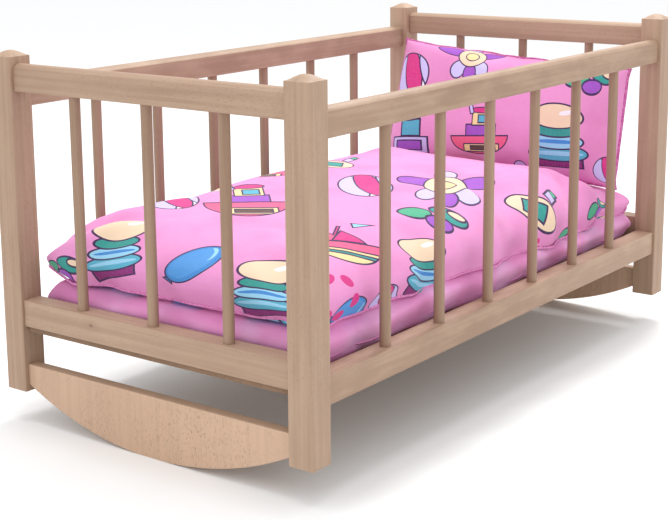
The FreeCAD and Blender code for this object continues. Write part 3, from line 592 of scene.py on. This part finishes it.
def print_point(sheet, point, places):
    """The point in the axes of whichever printed place is nearest."""
    chosen, nearest = None, None
    for across, up, turn, wide, tall in places:
        local = sheet.local(point, (across, up), turn, (wide, tall))
        away = sheet.vector("LENGTH", local)
        if chosen is None:
            chosen, nearest = local, away
            continue
        closer = sheet.math("LESS_THAN", away, nearest)
        chosen = sheet.blend(closer, chosen, local, "Vector")
        nearest = sheet.math("MINIMUM", away, nearest)
    return chosen


def weave_group():
    """Fine plain-woven cotton: a height for the threads and a slight change of shade."""
    sheet, given, made = shader_group(
        "cotton_weave", [("Point", "point"), ("Thread", "number")],
        [("Height", "number"), ("Shade", "number"), ("Crumple", "number")])
    point = given.outputs["Point"]
    turns = sheet.math("DIVIDE", math.pi, given.outputs["Thread"])
    parts = sheet.node("ShaderNodeSeparateXYZ", point)
    warp = sheet.math("SINE", sheet.math("MULTIPLY", parts.outputs[0], turns))
    weft = sheet.math("SINE", sheet.math("MULTIPLY", parts.outputs[1], turns))
    crossing = sheet.math("MULTIPLY", warp, weft)
    slub = sheet.noise(sheet.stretched(point, (900, 120, 1)), 1.0, 2.0)
    slub = sheet.math("ADD", slub, sheet.noise(sheet.stretched(point, (120, 900, 1)), 1.0, 2.0))
    sheet.fill(made, Height=sheet.math("MULTIPLY_ADD", crossing, 0.25, slub),
               Shade=sheet.band(slub, 0.7, 1.3),
               Crumple=sheet.noise(sheet.stretched(point, (34, 34, 1)), 1.0, 3.0, 0.55))
    return sheet.tree


def cotton(name, ground, deep, placed=None, mottle=0.55):
    """Cotton cloth, plain or printed, that follows the panels it is sewn from."""
    material, sheet, shader = new_material(name)
    flat = sheet.node("ShaderNodeUVMap", uv_map=CLOTH_MAP).outputs[0]
    weave = shared_group("cotton_weave", weave_group)
    woven = use_group(sheet, weave, Point=flat, Thread=WEAVE_THREAD)
    patches = sheet.noise(sheet.stretched(flat, (16, 16, 1)), 1.0, 2.0)
    base = sheet.blend(sheet.band(patches, 0.40, 0.72, 0.0, mottle), ground, deep)
    if placed:
        point = sheet.vector("SCALE", flat)
        sheet.fill(point.node, Scale=1 / MM)
        for motif, places in placed.items():
            group = shared_group(f"motif_{motif}", lambda: motif_group(motif))
            stamp = use_group(sheet, group, Point=print_point(sheet, point, places))
            base = sheet.blend(stamp.outputs["Mask"], base, stamp.outputs["Color"])
    base = sheet.blend(sheet.math("MULTIPLY", woven.outputs["Shade"], 0.03), base, (1, 1, 1))
    soft = sheet.bumped(0.30, 0.0025, woven.outputs["Crumple"])
    sheet.fill(shader, Base_Color=base, Roughness=0.85, Specular_IOR_Level=0.25,
               Sheen_Weight=0.10, Sheen_Roughness=0.5,
               Normal=sheet.bumped(0.25, 0.0001, woven.outputs["Height"], soft))
    return material


def thread_material(print_colours):
    """Twisted cotton thread."""
    if "sewing_thread" in bpy.data.materials:
        return bpy.data.materials["sewing_thread"]
    material, sheet, shader = new_material("sewing_thread")
    here = sheet.here()
    twist = sheet.noise(here, 2500.0, 1.0)
    dark = [0.7 * part for part in print_colours.thread]
    sheet.fill(shader, Base_Color=sheet.blend(twist, dark, print_colours.thread),
               Roughness=sheet.band(twist, 0.3, 0.7, 0.7, 0.9),
               Normal=sheet.bumped(0.5, 0.0002, twist))
    return material


# ---- Cloth
def new_object(name, data):
    """Puts a mesh, a curve, a lamp or a camera in the scene, at the origin."""
    made = bpy.data.objects.new(name, data)
    bpy.context.scene.collection.objects.link(made)
    return made


def baked(piece):
    """The mesh that a piece's modifiers give."""
    evaluated = piece.evaluated_get(bpy.context.evaluated_depsgraph_get())
    return bpy.data.meshes.new_from_object(evaluated)


def arc_length(reach, rise):
    """Length of cloth over a quarter of an ellipse, from a seam up to a flat top."""
    steps = np.linspace(0, math.pi / 2, 200)
    run = np.hypot(reach * np.sin(steps), rise * np.cos(steps))
    return float(run.mean() * math.pi / 2)


def rolled(along, reach, rise):
    """How far in from its seam cloth has come, and its share of the full height, after a length."""
    arc = arc_length(reach, rise)
    angle = math.pi / 2 * np.clip(along / arc, 0, 1)
    return reach * (1 - np.cos(angle)) + np.maximum(along - arc, 0), np.sin(angle)


class Panel:
    """One side of a cushion: how high it stands over its seam, and how wide its slopes are."""

    def __init__(self, half, rise, reach, slack=0.85):
        self.half = half
        self.rise = rise
        self.slack = slack      # nearly 0 for corners as full as the sides, 1 for flat corners
        self.reach = reach      # for X and then Y: at the low end, and at the high end
        self.cloth = [[half[k] - end + arc_length(end, rise) for end in reach[k]] for k in (0, 1)]

    def flat(self, k, part):
        """A part of the way, from -1 to 1, as a length of flat cloth."""
        return part * self.cloth[k][1 if part > 0 else 0]

    def shape(self, u, v):
        """Where the panel's point (u, v) lies: x, y, and its share of the full height."""
        places, heights = [], []
        for k, part in enumerate((u, v)):
            found = []
            for end in (0, 1):
                along = (1 - np.abs(part)) * self.cloth[k][end]
                found.append(rolled(along, self.reach[k][end], self.rise))
            inward, height = (np.where(part > 0, found[1][m], found[0][m]) for m in (0, 1))
            places.append(np.sign(part) * (self.half[k] - inward))
            heights.append(height)
        return places[0], places[1], (heights[0] * heights[1]) ** self.slack


def sewn_bag(name, panels, step):
    """Two panels sewn together round their edges into a closed cushion.

    The panels keep their own flat places, in metres, as the mesh's UV map. The border's vertices
    come first, in order. Each vertex's place on its panel, and its side, are given back with it.
    """
    columns = 2 * round(sum(panels[0].cloth[0]) / 2 / step)
    rows = 2 * round(sum(panels[0].cloth[1]) / 2 / step)
    border = [(i, 0) for i in range(columns)]
    border += [(columns, j) for j in range(rows)]
    border += [(i, rows) for i in range(columns, 0, -1)]
    border += [(0, j) for j in range(rows, 0, -1)]
    number_of = {place: index for index, place in enumerate(border)}
    spots = [(i, j, 0) for i, j in border]
    faces, flat = [], []
    for side, panel in zip((1, -1), panels):
        numbers = dict(number_of)
        for j in range(1, rows):
            for i in range(1, columns):
                numbers[i, j] = len(spots)
                spots.append((i, j, side))
        for j in range(rows):
            for i in range(columns):
                ring = [(i, j), (i + 1, j), (i + 1, j + 1), (i, j + 1)][::side]
                faces.append([numbers[place] for place in ring])
                flat += [(panel.flat(0, 2 * a / columns - 1), panel.flat(1, 2 * b / rows - 1))
                         for a, b in ring]
    grid = np.array(spots, float)
    u, v, side = 2 * grid[:, 0] / columns - 1, 2 * grid[:, 1] / rows - 1, grid[:, 2]
    upper, lower = (panel.shape(u, v) for panel in panels)
    x = np.where(side < 0, lower[0], upper[0])
    y = np.where(side < 0, lower[1], upper[1])
    height = np.where(side < 0, lower[2], upper[2])
    points = np.column_stack([x, y, np.where(side < 0, -panels[1].rise, panels[0].rise) * height])
    mesh = bpy.data.meshes.new(name)
    mesh.from_pydata(points.tolist(), [], faces)
    layer = mesh.uv_layers.new(name=CLOTH_MAP)
    layer.data.foreach_set("uv", np.array(flat, np.float32).ravel())
    mesh.update()
    return new_object(name, mesh), len(border), u, v, side, height


def tucked(points, u, v, depth, height):
    """Rolls a cushion's edge under: its seam goes in, below the widest part of its side."""
    for k, part in enumerate((u, v)):
        share = np.exp(-(points[:, 2] / height) ** 2) * eased(np.abs(part), 0.80, 0.97)
        points[:, k] -= np.sign(part) * depth * share
    return points


def points_of(mesh):
    """A mesh's vertices as an array."""
    found = np.empty(len(mesh.vertices) * 3)
    mesh.vertices.foreach_get("co", found)
    return found.reshape(-1, 3)


def normals_of(mesh):
    """A mesh's vertex normals as an array."""
    found = np.empty(len(mesh.vertices) * 3, np.float32)
    mesh.vertex_normals.foreach_get("vector", found)
    return found.reshape(-1, 3).astype(float)


def set_points(mesh, points):
    """Puts an array back as a mesh's vertices."""
    mesh.vertices.foreach_set("co", np.asarray(points, np.float32).ravel())
    mesh.update()


def evened(mesh, values, rounds):
    """Values at a mesh's vertices, averaged with their neighbours' a number of times."""
    ends = np.empty(len(mesh.edges) * 2, int)
    mesh.edges.foreach_get("vertices", ends)
    first, second = ends.reshape(-1, 2).T
    sources = np.concatenate([first, second])
    targets = np.concatenate([second, first])
    count = np.bincount(targets, minlength=len(values))[:, None]
    for _ in range(rounds):
        total = np.column_stack([np.bincount(targets, values[sources, k], len(values))
                                 for k in range(values.shape[1])])
        values = 0.4 * values + 0.6 * total / count
    return values


def wrinkled(piece, bedding, pressure, held, growth, cap):
    """Lets the cloth of a cushion settle, and keeps its wrinkles on the cushion's own form.

    The cloth is cut a little large and the filling presses it outwards, so that it creases. Its
    slow changes of shape are taken off again, and what is left is kept within a cap.
    """
    form = points_of(piece.data)
    frames = bedding.settle_frames
    group = piece.vertex_groups.new(name="held")
    group.add([int(index) for index in np.flatnonzero(held)], 1.0, "REPLACE")
    cloth = piece.modifiers.new("settling", "CLOTH")
    settings = cloth.settings
    for name, value in COTTON_CLOTH.items():
        setattr(settings, name, value)
    settings.bending_stiffness = bedding.cloth_stiffness
    settings.shrink_min = -growth
    settings.use_pressure = True
    settings.uniform_pressure_force = pressure
    settings.vertex_group_mass = "held"
    settings.effector_weights.gravity = 0.0
    cloth.collision_settings.use_collision = False
    cloth.point_cache.frame_start = 1
    cloth.point_cache.frame_end = frames
    for moment in range(1, frames + 1):
        bpy.context.scene.frame_set(moment)
    settled = baked(piece)
    moved = points_of(settled) - form
    bpy.data.meshes.remove(settled)
    piece.modifiers.clear()
    piece.vertex_groups.clear()
    bpy.context.scene.frame_set(1)
    if not np.isfinite(moved).all():
        raise RuntimeError(f"the cloth of {piece.name} did not settle")
    creases = evened(piece.data, moved - evened(piece.data, moved, CREASE_ROUNDS), 2)
    size = np.linalg.norm(creases, axis=1, keepdims=True)
    creases *= cap * np.tanh(size / cap) / np.maximum(size, 1e-9)
    return form, creases


def fold(points, normals, start, end, width, height):
    """Raises a soft ridge, or sinks a crease, along a line seen from above."""
    start, end = np.array(start), np.array(end)
    line = end - start
    reach = np.linalg.norm(line)
    along = ((points[:, :2] - start) @ line) / reach
    away = np.abs((points[:, :2] - start) @ np.array((-line[1], line[0]))) / reach
    share = np.exp(-(away / width) ** 2) * eased(along, -0.25 * reach, 0.2 * reach)
    share *= 1 - eased(along, 0.7 * reach, 1.15 * reach)
    return points + normals * (height * share)[:, None]


def finished(piece, points, border):
    """Gives a cushion its last form, rounded and smooth, and hands back the line of its seam."""
    set_points(piece.data, points)
    modifier = piece.modifiers.new("rounding", "SUBSURF")
    modifier.levels = 1
    modifier.render_levels = 1
    rounded = baked(piece)
    piece.modifiers.clear()
    piece.data = rounded
    piece.data.shade_smooth()
    return points[:border]


def eased(value, low, high):
    """0 below low, 1 above high and a smooth rise between them."""
    share = np.clip((value - low) / (high - low), 0, 1)
    return share * share * (3 - 2 * share)


# ---- Seams and stitches
def stitch_tree():
    """A geometry node tree: a row of short stitches along a curve, and a rolled seam under them."""
    tree = bpy.data.node_groups.new("sewn_edge", "GeometryNodeTree")
    sockets = {"Geometry": "Geometry", "Spacing": "Float", "Stitch Length": "Float",
               "Thread": "Float", "Seam Radius": "Float", "Thread Material": "Material",
               "Cloth Material": "Material"}
    for name, kind in sockets.items():
        tree.interface.new_socket(name, in_out="INPUT", socket_type=f"NodeSocket{kind}")
    tree.interface.new_socket("Geometry", in_out="OUTPUT", socket_type="NodeSocketGeometry")
    sheet = Sheet(tree)
    given = sheet.node("NodeGroupInput")
    made = sheet.node("NodeGroupOutput")
    out = given.outputs
    spaced = sheet.fill(sheet.node("GeometryNodeResampleCurve", mode="LENGTH"),
                        Curve=out["Geometry"], Length=out["Spacing"])
    bead = sheet.fill(sheet.node("GeometryNodeMeshUVSphere"), Segments=8, Rings=5, Radius=0.5)
    size = sheet.node("ShaderNodeCombineXYZ", out["Thread"], out["Thread"], out["Stitch Length"])
    stitch = sheet.fill(sheet.node("GeometryNodeTransform"), Geometry=bead.outputs["Mesh"],
                        Scale=size.outputs[0])
    facing = sheet.node("GeometryNodeInputTangent")
    turned = sheet.fill(sheet.node("FunctionNodeAlignRotationToVector", axis="Z"),
                        Vector=facing.outputs[0])
    placed = sheet.fill(sheet.node("GeometryNodeInstanceOnPoints"), Points=spaced.outputs[0],
                        Instance=stitch.outputs[0], Rotation=turned.outputs[0])
    real = sheet.node("GeometryNodeRealizeInstances", placed.outputs[0])
    sewn = sheet.fill(sheet.node("GeometryNodeSetMaterial"), Geometry=real.outputs[0],
                      Material=out["Thread Material"])
    section = sheet.fill(sheet.node("GeometryNodeCurvePrimitiveCircle"), Resolution=8,
                         Radius=out["Seam Radius"])
    tube = sheet.fill(sheet.node("GeometryNodeCurveToMesh"), Curve=out["Geometry"],
                      Profile_Curve=section.outputs["Curve"])
    covered = sheet.fill(sheet.node("GeometryNodeSetMaterial"), Geometry=tube.outputs[0],
                         Material=out["Cloth Material"])
    joined = sheet.node("GeometryNodeJoinGeometry", covered.outputs[0])
    sheet.feed(joined.inputs[0], sewn.outputs[0])
    sheet.feed(made.inputs[0], joined.outputs[0])
    return tree


def sewn_edge(name, bedding, path, cloth, thread, size=1.0):
    """A closed seam along a path of points, with its stitches, as one plain mesh."""
    tree = shared_group("sewn_edge", stitch_tree)
    curve = bpy.data.curves.new(name, "CURVE")
    curve.dimensions = "3D"
    spline = curve.splines.new("POLY")
    spline.points.add(len(path) - 1)
    spline.points.foreach_set("co", np.column_stack([path, np.ones(len(path))]).ravel())
    spline.use_cyclic_u = True
    holder = new_object(name, curve)
    modifier = holder.modifiers.new("sewing", "NODES")
    modifier.node_group = tree
    values = {"Spacing": bedding.stitch_spacing, "Stitch Length": bedding.stitch_length,
              "Thread": bedding.thread, "Seam Radius": size * bedding.seam,
              "Thread Material": thread, "Cloth Material": cloth}
    for item in tree.interface.items_tree:
        if item.in_out == "INPUT" and item.name in values:
            modifier[item.identifier] = values[item.name]
    mesh = baked(holder)
    bpy.data.objects.remove(holder)
    mesh.name = name
    mesh.shade_smooth()
    return new_object(name, mesh)


# ---- Operators
class CRADLE_OT_beech(bpy.types.Operator):
    """Give the posts, rails, bars, rockers, dowels and base their wood"""

    bl_idname = "cradle.beech"
    bl_label = "Beech frame"

    def execute(self, context):
        wood = context.scene.cradle_wood
        grain = grain_group()
        low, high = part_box("bottom_rail_foot")
        across, up = KNOT_PLACE
        knot = (low.x, low.y + across * (high.y - low.y), low.z + up * (high.z - low.z))
        finishes = {
            "post": beech("beech_posts", grain, "z", wood, figure=0.25, flecks=0.35),
            "side_rail": beech("beech_side_rails", grain, "x", wood, figure=0.75, flecks=0.30,
                               warmth=0.05),
            "end_rail": beech("beech_end_rails", grain, "y", wood, figure=0.20, flecks=0.35,
                              knot=knot),
            "rocker": beech("beech_rockers", grain, "z", wood, figure=0.20, flecks=0.60,
                            shade=1.40, contrast=0.14),
            "bar": beech("beech_bars", grain, "z", wood, figure=0.15, flecks=0.25, warmth=0.40,
                         shade=0.93),
            "dowel": beech("beech_dowels", grain, "z", wood, figure=0.10, flecks=0.20),
            "panel": board_material(wood),
            "pins": pin_material(),
        }
        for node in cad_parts:
            words = node.split("_")
            kind = words[0]
            if "dowels" in words:
                kind = "dowel"
            elif "rail" in words:
                kind = "side_rail" if words[-1] in ("near", "far") else "end_rail"
            elif kind == "base":
                kind = "pins" if words[-1] == "pins" else "panel"
            if kind in finishes:
                paint_node(node, finishes[kind])
        return {"FINISHED"}


def dress(piece, cloth):
    """Gives a finished cushion its cloth."""
    piece.data.materials.clear()
    piece.data.materials.append(cloth)


def seam_material(name, ground, deep):
    """The cloth of a rolled seam, puckered by its stitches. The pucker mixes its two colours; on the
    pillow the second is painted shade, for the fold beside the seam.
    """
    material, sheet, shader = new_material(name)
    here = sheet.here()
    pucker = sheet.noise(here, 420.0, 2.0)
    sheet.fill(shader, Base_Color=sheet.blend(sheet.band(pucker, 0.35, 0.65), ground, deep),
               Roughness=0.9, Normal=sheet.bumped(0.6, 0.0006, pucker))
    return material


class CRADLE_OT_mattress(bpy.types.Operator):
    """Make the thin under-mattress, soft and sewn round its lower edge"""

    bl_idname = "cradle.mattress"
    bl_label = "Under-mattress"

    def execute(self, context):
        bedding = context.scene.cradle_bedding
        colours = context.scene.cradle_print
        low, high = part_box("mattress")
        middle, half = (low + high) / 2, (high - low) / 2
        sunk = MATTRESS_SEAM_SHARE * (high.z - low.z)
        panels = (Panel(half, high.z - low.z - sunk, MATTRESS_SLOPES, MATTRESS_SLACK),
                  Panel(half, sunk, MATTRESS_UNDER))
        piece, border, u, v, side, height = sewn_bag("under_mattress", panels, bedding.panel_step)
        points = tucked(points_of(piece.data), u, v, *MATTRESS_TUCK)
        points += (middle.x, middle.y, low.z + sunk)
        set_points(piece.data, points)
        form, creases = wrinkled(piece, bedding, bedding.mattress_pressure,
                                 np.abs(height) > 0.98, *MATTRESS_CREASES)
        waves = MATTRESS_WAVES * np.sin(form[:, 0] * 95 + 1.5 * np.sin(form[:, 0] * 31))
        form[:, 1] += waves * np.abs(v) ** 3 * (side >= 0)
        puffed = eased(form[:, 2] - low.z - sunk, 0, MATTRESS_BULGE_TALL) * (side >= 0)
        form[:, 0] += MATTRESS_BULGE * puffed * np.sign(u) * eased(np.abs(u), 0.8, 1.0)
        form[:, 1] += MATTRESS_BULGE * puffed * np.sign(v) * eased(np.abs(v), 0.7, 1.0)
        form[:, 2] -= MATTRESS_SAG * puffed * eased(-v, 0.55, 0.95) * eased(u, -0.4, 0.5)
        spare = Vector((MATTRESS_SPARE, MATTRESS_SPARE, 0))
        points = np.clip(form + creases, low - spare, high + spare)
        path = finished(piece, points, border)
        cloth = cotton("mattress_cotton", colours.plain, colours.lilac, mottle=0.9)
        dress(piece, cloth)
        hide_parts("mattress")
        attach(piece, "mattress")
        rolled_seam = seam_material("mattress_seam", colours.plain, colours.plain)
        edge = sewn_edge("under_mattress_seam", bedding, path, rolled_seam,
                         thread_material(colours))
        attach(edge, "mattress")
        return {"FINISHED"}


class CRADLE_OT_duvet(bpy.types.Operator):
    """Make the printed duvet, puffed over the mattress and pressed down under the pillow"""

    bl_idname = "cradle.duvet"
    bl_label = "Duvet"

    def execute(self, context):
        bedding = context.scene.cradle_bedding
        colours = context.scene.cradle_print
        low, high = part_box("duvet")
        middle, half = (low + high) / 2, (high - low) / 2
        sunk = DUVET_SEAM_HEIGHT
        rise = high.z - low.z - sunk
        panels = (Panel(half, rise, DUVET_SLOPES), Panel(half, sunk, DUVET_UNDER))
        piece, border, u, v, side, height = sewn_bag("duvet_cover", panels, bedding.panel_step)
        points = tucked(points_of(piece.data), u, v, *DUVET_TUCK)
        crown = v - 0.6 + 0.9 * (1 - u * u) * (1 - v * v)
        points[:, 2] += DUVET_PUFF * height * crown * (side >= 0)
        outward = normals_of(piece.data) * (side >= 0)[:, None]
        for start, end, width, depth in DUVET_FOLDS:
            points = fold(points, outward, start, end, width, depth)
        under_pillow = eased(points[:, 0], *PILLOW_PRESS)
        flat_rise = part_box("pillow")[0].z - low.z - sunk - PILLOW_GAP
        shrink = 1 - under_pillow * (1 - flat_rise / rise)
        shrink *= np.maximum(height, 0.02) ** (-0.50 * under_pillow)
        points[:, 2] *= np.where(side > 0, shrink, 1)
        points += (middle.x, middle.y, low.z + sunk)
        droop = DUVET_DROOP + DUVET_DROOP_MORE * eased(u, -0.2, 0.6)
        points[:, 2] -= droop * eased(-v, 0.72, 1.0)
        corner = eased(-u, 0.70, 1.0) * eased(v, 0.45, 1.0)
        points[:, 2] += DUVET_CORNER_LIFT * corner
        points[:, :2] += DUVET_CORNER_OUT * corner[:, None] * np.array((-1, 1))
        set_points(piece.data, points)
        form, creases = wrinkled(piece, bedding, bedding.duvet_pressure,
                                 (side < 0) & (np.abs(height) > 0.9), *DUVET_CREASES)
        creases *= 1 + 0.8 * corner[:, None]
        points = np.clip(form + creases, low - Vector((0, 0, DUVET_SPARE_BELOW)),
                         high + Vector((0, 0, DUVET_SPARE_ABOVE)))
        path = finished(piece, points, border)
        cloth = cotton("duvet_cotton", colours.ground, colours.deep, DUVET_PRINT)
        dress(piece, cloth)
        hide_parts("duvet")
        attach(piece, "duvet")
        rolled_seam = seam_material("duvet_seam_cotton", colours.ground, colours.deep)
        edge = sewn_edge("duvet_seam", bedding, path, rolled_seam, thread_material(colours))
        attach(edge, "duvet")
        return {"FINISHED"}


class CRADLE_OT_pillow(bpy.types.Operator):
    """Make the printed pillow, leaning against the bars of the head"""

    bl_idname = "cradle.pillow"
    bl_label = "Pillow"

    def execute(self, context):
        bedding = context.scene.cradle_bedding
        colours = context.scene.cradle_print
        low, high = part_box("pillow")
        half = ((high.y - low.y) / 2, PILLOW_TALL / 2)
        panel = Panel(half, PILLOW_THICK / 2, PILLOW_SLOPES)
        piece, border, u, v, side, height = sewn_bag("pillow_cover", (panel, panel),
                                                     0.8 * bedding.panel_step)
        points = points_of(piece.data)
        points[:, 0] *= 1 - PILLOW_WAIST[0] * (1 - v * v)
        points[:, 1] *= 1 - PILLOW_WAIST[1] * (1 - u * u)
        set_points(piece.data, points)
        form, creases = wrinkled(piece, bedding, bedding.pillow_pressure,
                                 (side < 0) & (np.abs(height) > 0.9), *PILLOW_CREASES)
        points = form + creases
        points[:, :2] = np.clip(points[:, :2], (-half[0], -half[1]), half)
        points = self.leant(points, low, high)
        path = finished(piece, points, border)
        cloth = cotton("pillow_cotton", colours.ground, colours.deep, PILLOW_PRINT)
        dress(piece, cloth)
        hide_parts("pillow")
        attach(piece, "pillow")
        # The pillow's seam runs from the deep ground to the seam colour, which is painted shade for
        # the shaded fold beside the seam.
        rolled_seam = seam_material("pillow_seam_cotton", colours.deep, colours.seam)
        edge = sewn_edge("pillow_seam", bedding, path, rolled_seam, thread_material(colours), 1.6)
        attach(edge, "pillow")
        return {"FINISHED"}

    def leant(self, points, low, high):
        """Sets the flat pillow up between its four corners, a little twisted."""
        foot_near = np.array((low.x + 0.016, low.y, low.z - 0.0005))
        foot_far = np.array((low.x + 0.004, high.y, low.z + 0.006))
        top_near = np.array((high.x - 0.009, low.y, high.z - 0.009))
        top_far = np.array((high.x - 0.008, high.y, high.z + 0.006))
        across = 0.5 - points[:, :1] / (high.y - low.y)
        up = points[:, 1:2] / PILLOW_TALL + 0.5
        near = foot_near + up * (top_near - foot_near)
        far = foot_far + up * (top_far - foot_far)
        rise = (1 - across) * (top_near - foot_near) + across * (top_far - foot_far)
        out = np.cross(rise, far - near)
        out /= np.linalg.norm(out, axis=1, keepdims=True)
        return near + across * (far - near) + out * points[:, 2:3]


class CRADLE_OT_studio(bpy.types.Operator):
    """Make the pale floor, the soft lights and the camera"""

    bl_idname = "cradle.studio"
    bl_label = "Studio"

    def execute(self, context):
        stage = context.scene.cradle_stage
        self.floor(stage)
        self.light(context, stage)
        self.camera(context, stage)
        return {"FINISHED"}

    def floor(self, stage):
        """A wide round floor with a faint mottle."""
        mesh = bpy.data.meshes.new("floor")
        angles = [math.tau * k / FLOOR_SIDES for k in range(FLOOR_SIDES)]
        rim = [(FLOOR_RADIUS * math.cos(angle), FLOOR_RADIUS * math.sin(angle), 0.0)
               for angle in angles]
        mesh.from_pydata(rim, [], [list(range(FLOOR_SIDES))])
        floor = new_object("floor", mesh)
        material, sheet, shader = new_material("floor_paper")
        here = sheet.here()
        darker = [0.985 * part for part in stage.floor]
        mottle = sheet.blend(sheet.noise(here, 9.0), stage.floor, darker)
        sheet.fill(shader, Base_Color=mottle, Roughness=0.9)
        mesh.materials.append(material)

    def light(self, context, stage):
        """Even white surroundings, a large soft lamp overhead and a smaller one behind."""
        world = bpy.data.worlds.new("room")
        world.use_nodes = True
        sky = world.node_tree.nodes["Background"]
        sky.inputs["Color"].default_value = (1.0, 1.0, 1.0, 1.0)
        sky.inputs["Strength"].default_value = stage.sky
        context.scene.world = world
        lamps = [("overhead_lamp", *OVERHEAD_LAMP, stage.key),
                 ("back_lamp", *BACK_LAMP, stage.back)]
        for name, place, size, power in lamps:
            data = bpy.data.lights.new(name, "AREA")
            data.size = size
            data.energy = power
            lamp = new_object(name, data)
            lamp.location = place
            aim = Vector(LAMP_AIM) - Vector(place)
            lamp.rotation_euler = aim.to_track_quat("-Z", "Y").to_euler()

    def camera(self, context, stage):
        """The camera, at a child's height beside the foot of the cradle."""
        data = bpy.data.cameras.new("camera")
        data.lens = stage.lens
        data.sensor_width = CAMERA_SENSOR
        data.shift_x, data.shift_y = CAMERA_SHIFT
        yaw, pitch, roll = (math.radians(angle) for angle in CAMERA_TURN)
        ahead = Vector((math.cos(yaw) * math.cos(pitch), math.sin(yaw) * math.cos(pitch),
                        -math.sin(pitch)))
        right = Vector((math.sin(yaw), -math.cos(yaw), 0))
        down = ahead.cross(right)
        image_x = math.cos(roll) * right + math.sin(roll) * down
        image_down = math.cos(roll) * down - math.sin(roll) * right
        axes = Matrix((image_x, -image_down, -ahead)).transposed()
        camera = new_object("camera", data)
        camera.matrix_world = Matrix.Translation(CAMERA_PLACE) @ axes.to_4x4()
        context.scene.camera = camera
        context.scene.view_settings.view_transform = "Standard"


class CRADLE_PT_panel(bpy.types.Panel):
    """The cradle's operators, in the order in which they run"""

    bl_label = "Rocking Cradle"
    bl_idname = "CRADLE_PT_panel"
    bl_space_type = "VIEW_3D"
    bl_region_type = "UI"
    bl_category = "Cradle"

    def draw(self, context):
        for operator in OPERATORS:
            self.layout.operator(operator.bl_idname)


SETTINGS = {
    "cradle_wood": CradleWoodSettings,
    "cradle_bedding": CradleBeddingSettings,
    "cradle_print": CradlePrintSettings,
    "cradle_stage": CradleStageSettings,
}
OPERATORS = [CRADLE_OT_beech, CRADLE_OT_mattress, CRADLE_OT_duvet, CRADLE_OT_pillow,
             CRADLE_OT_studio]


def register():
    """Adds the settings, the operators and the panel."""
    for made in (*SETTINGS.values(), *OPERATORS, CRADLE_PT_panel):
        bpy.utils.register_class(made)
    for name, made in SETTINGS.items():
        setattr(bpy.types.Scene, name, bpy.props.PointerProperty(type=made))


def unregister():
    """Takes them away again."""
    for name in SETTINGS:
        delattr(bpy.types.Scene, name)
    for made in (CRADLE_PT_panel, *reversed(OPERATORS), *reversed(SETTINGS.values())):
        bpy.utils.unregister_class(made)


def main():
    """Makes everything."""
    register()
    bpy.ops.cradle.beech()
    bpy.ops.cradle.mattress()
    bpy.ops.cradle.duvet()
    bpy.ops.cradle.pillow()
    bpy.ops.cradle.studio()


if __name__ == "__main__":
    main()
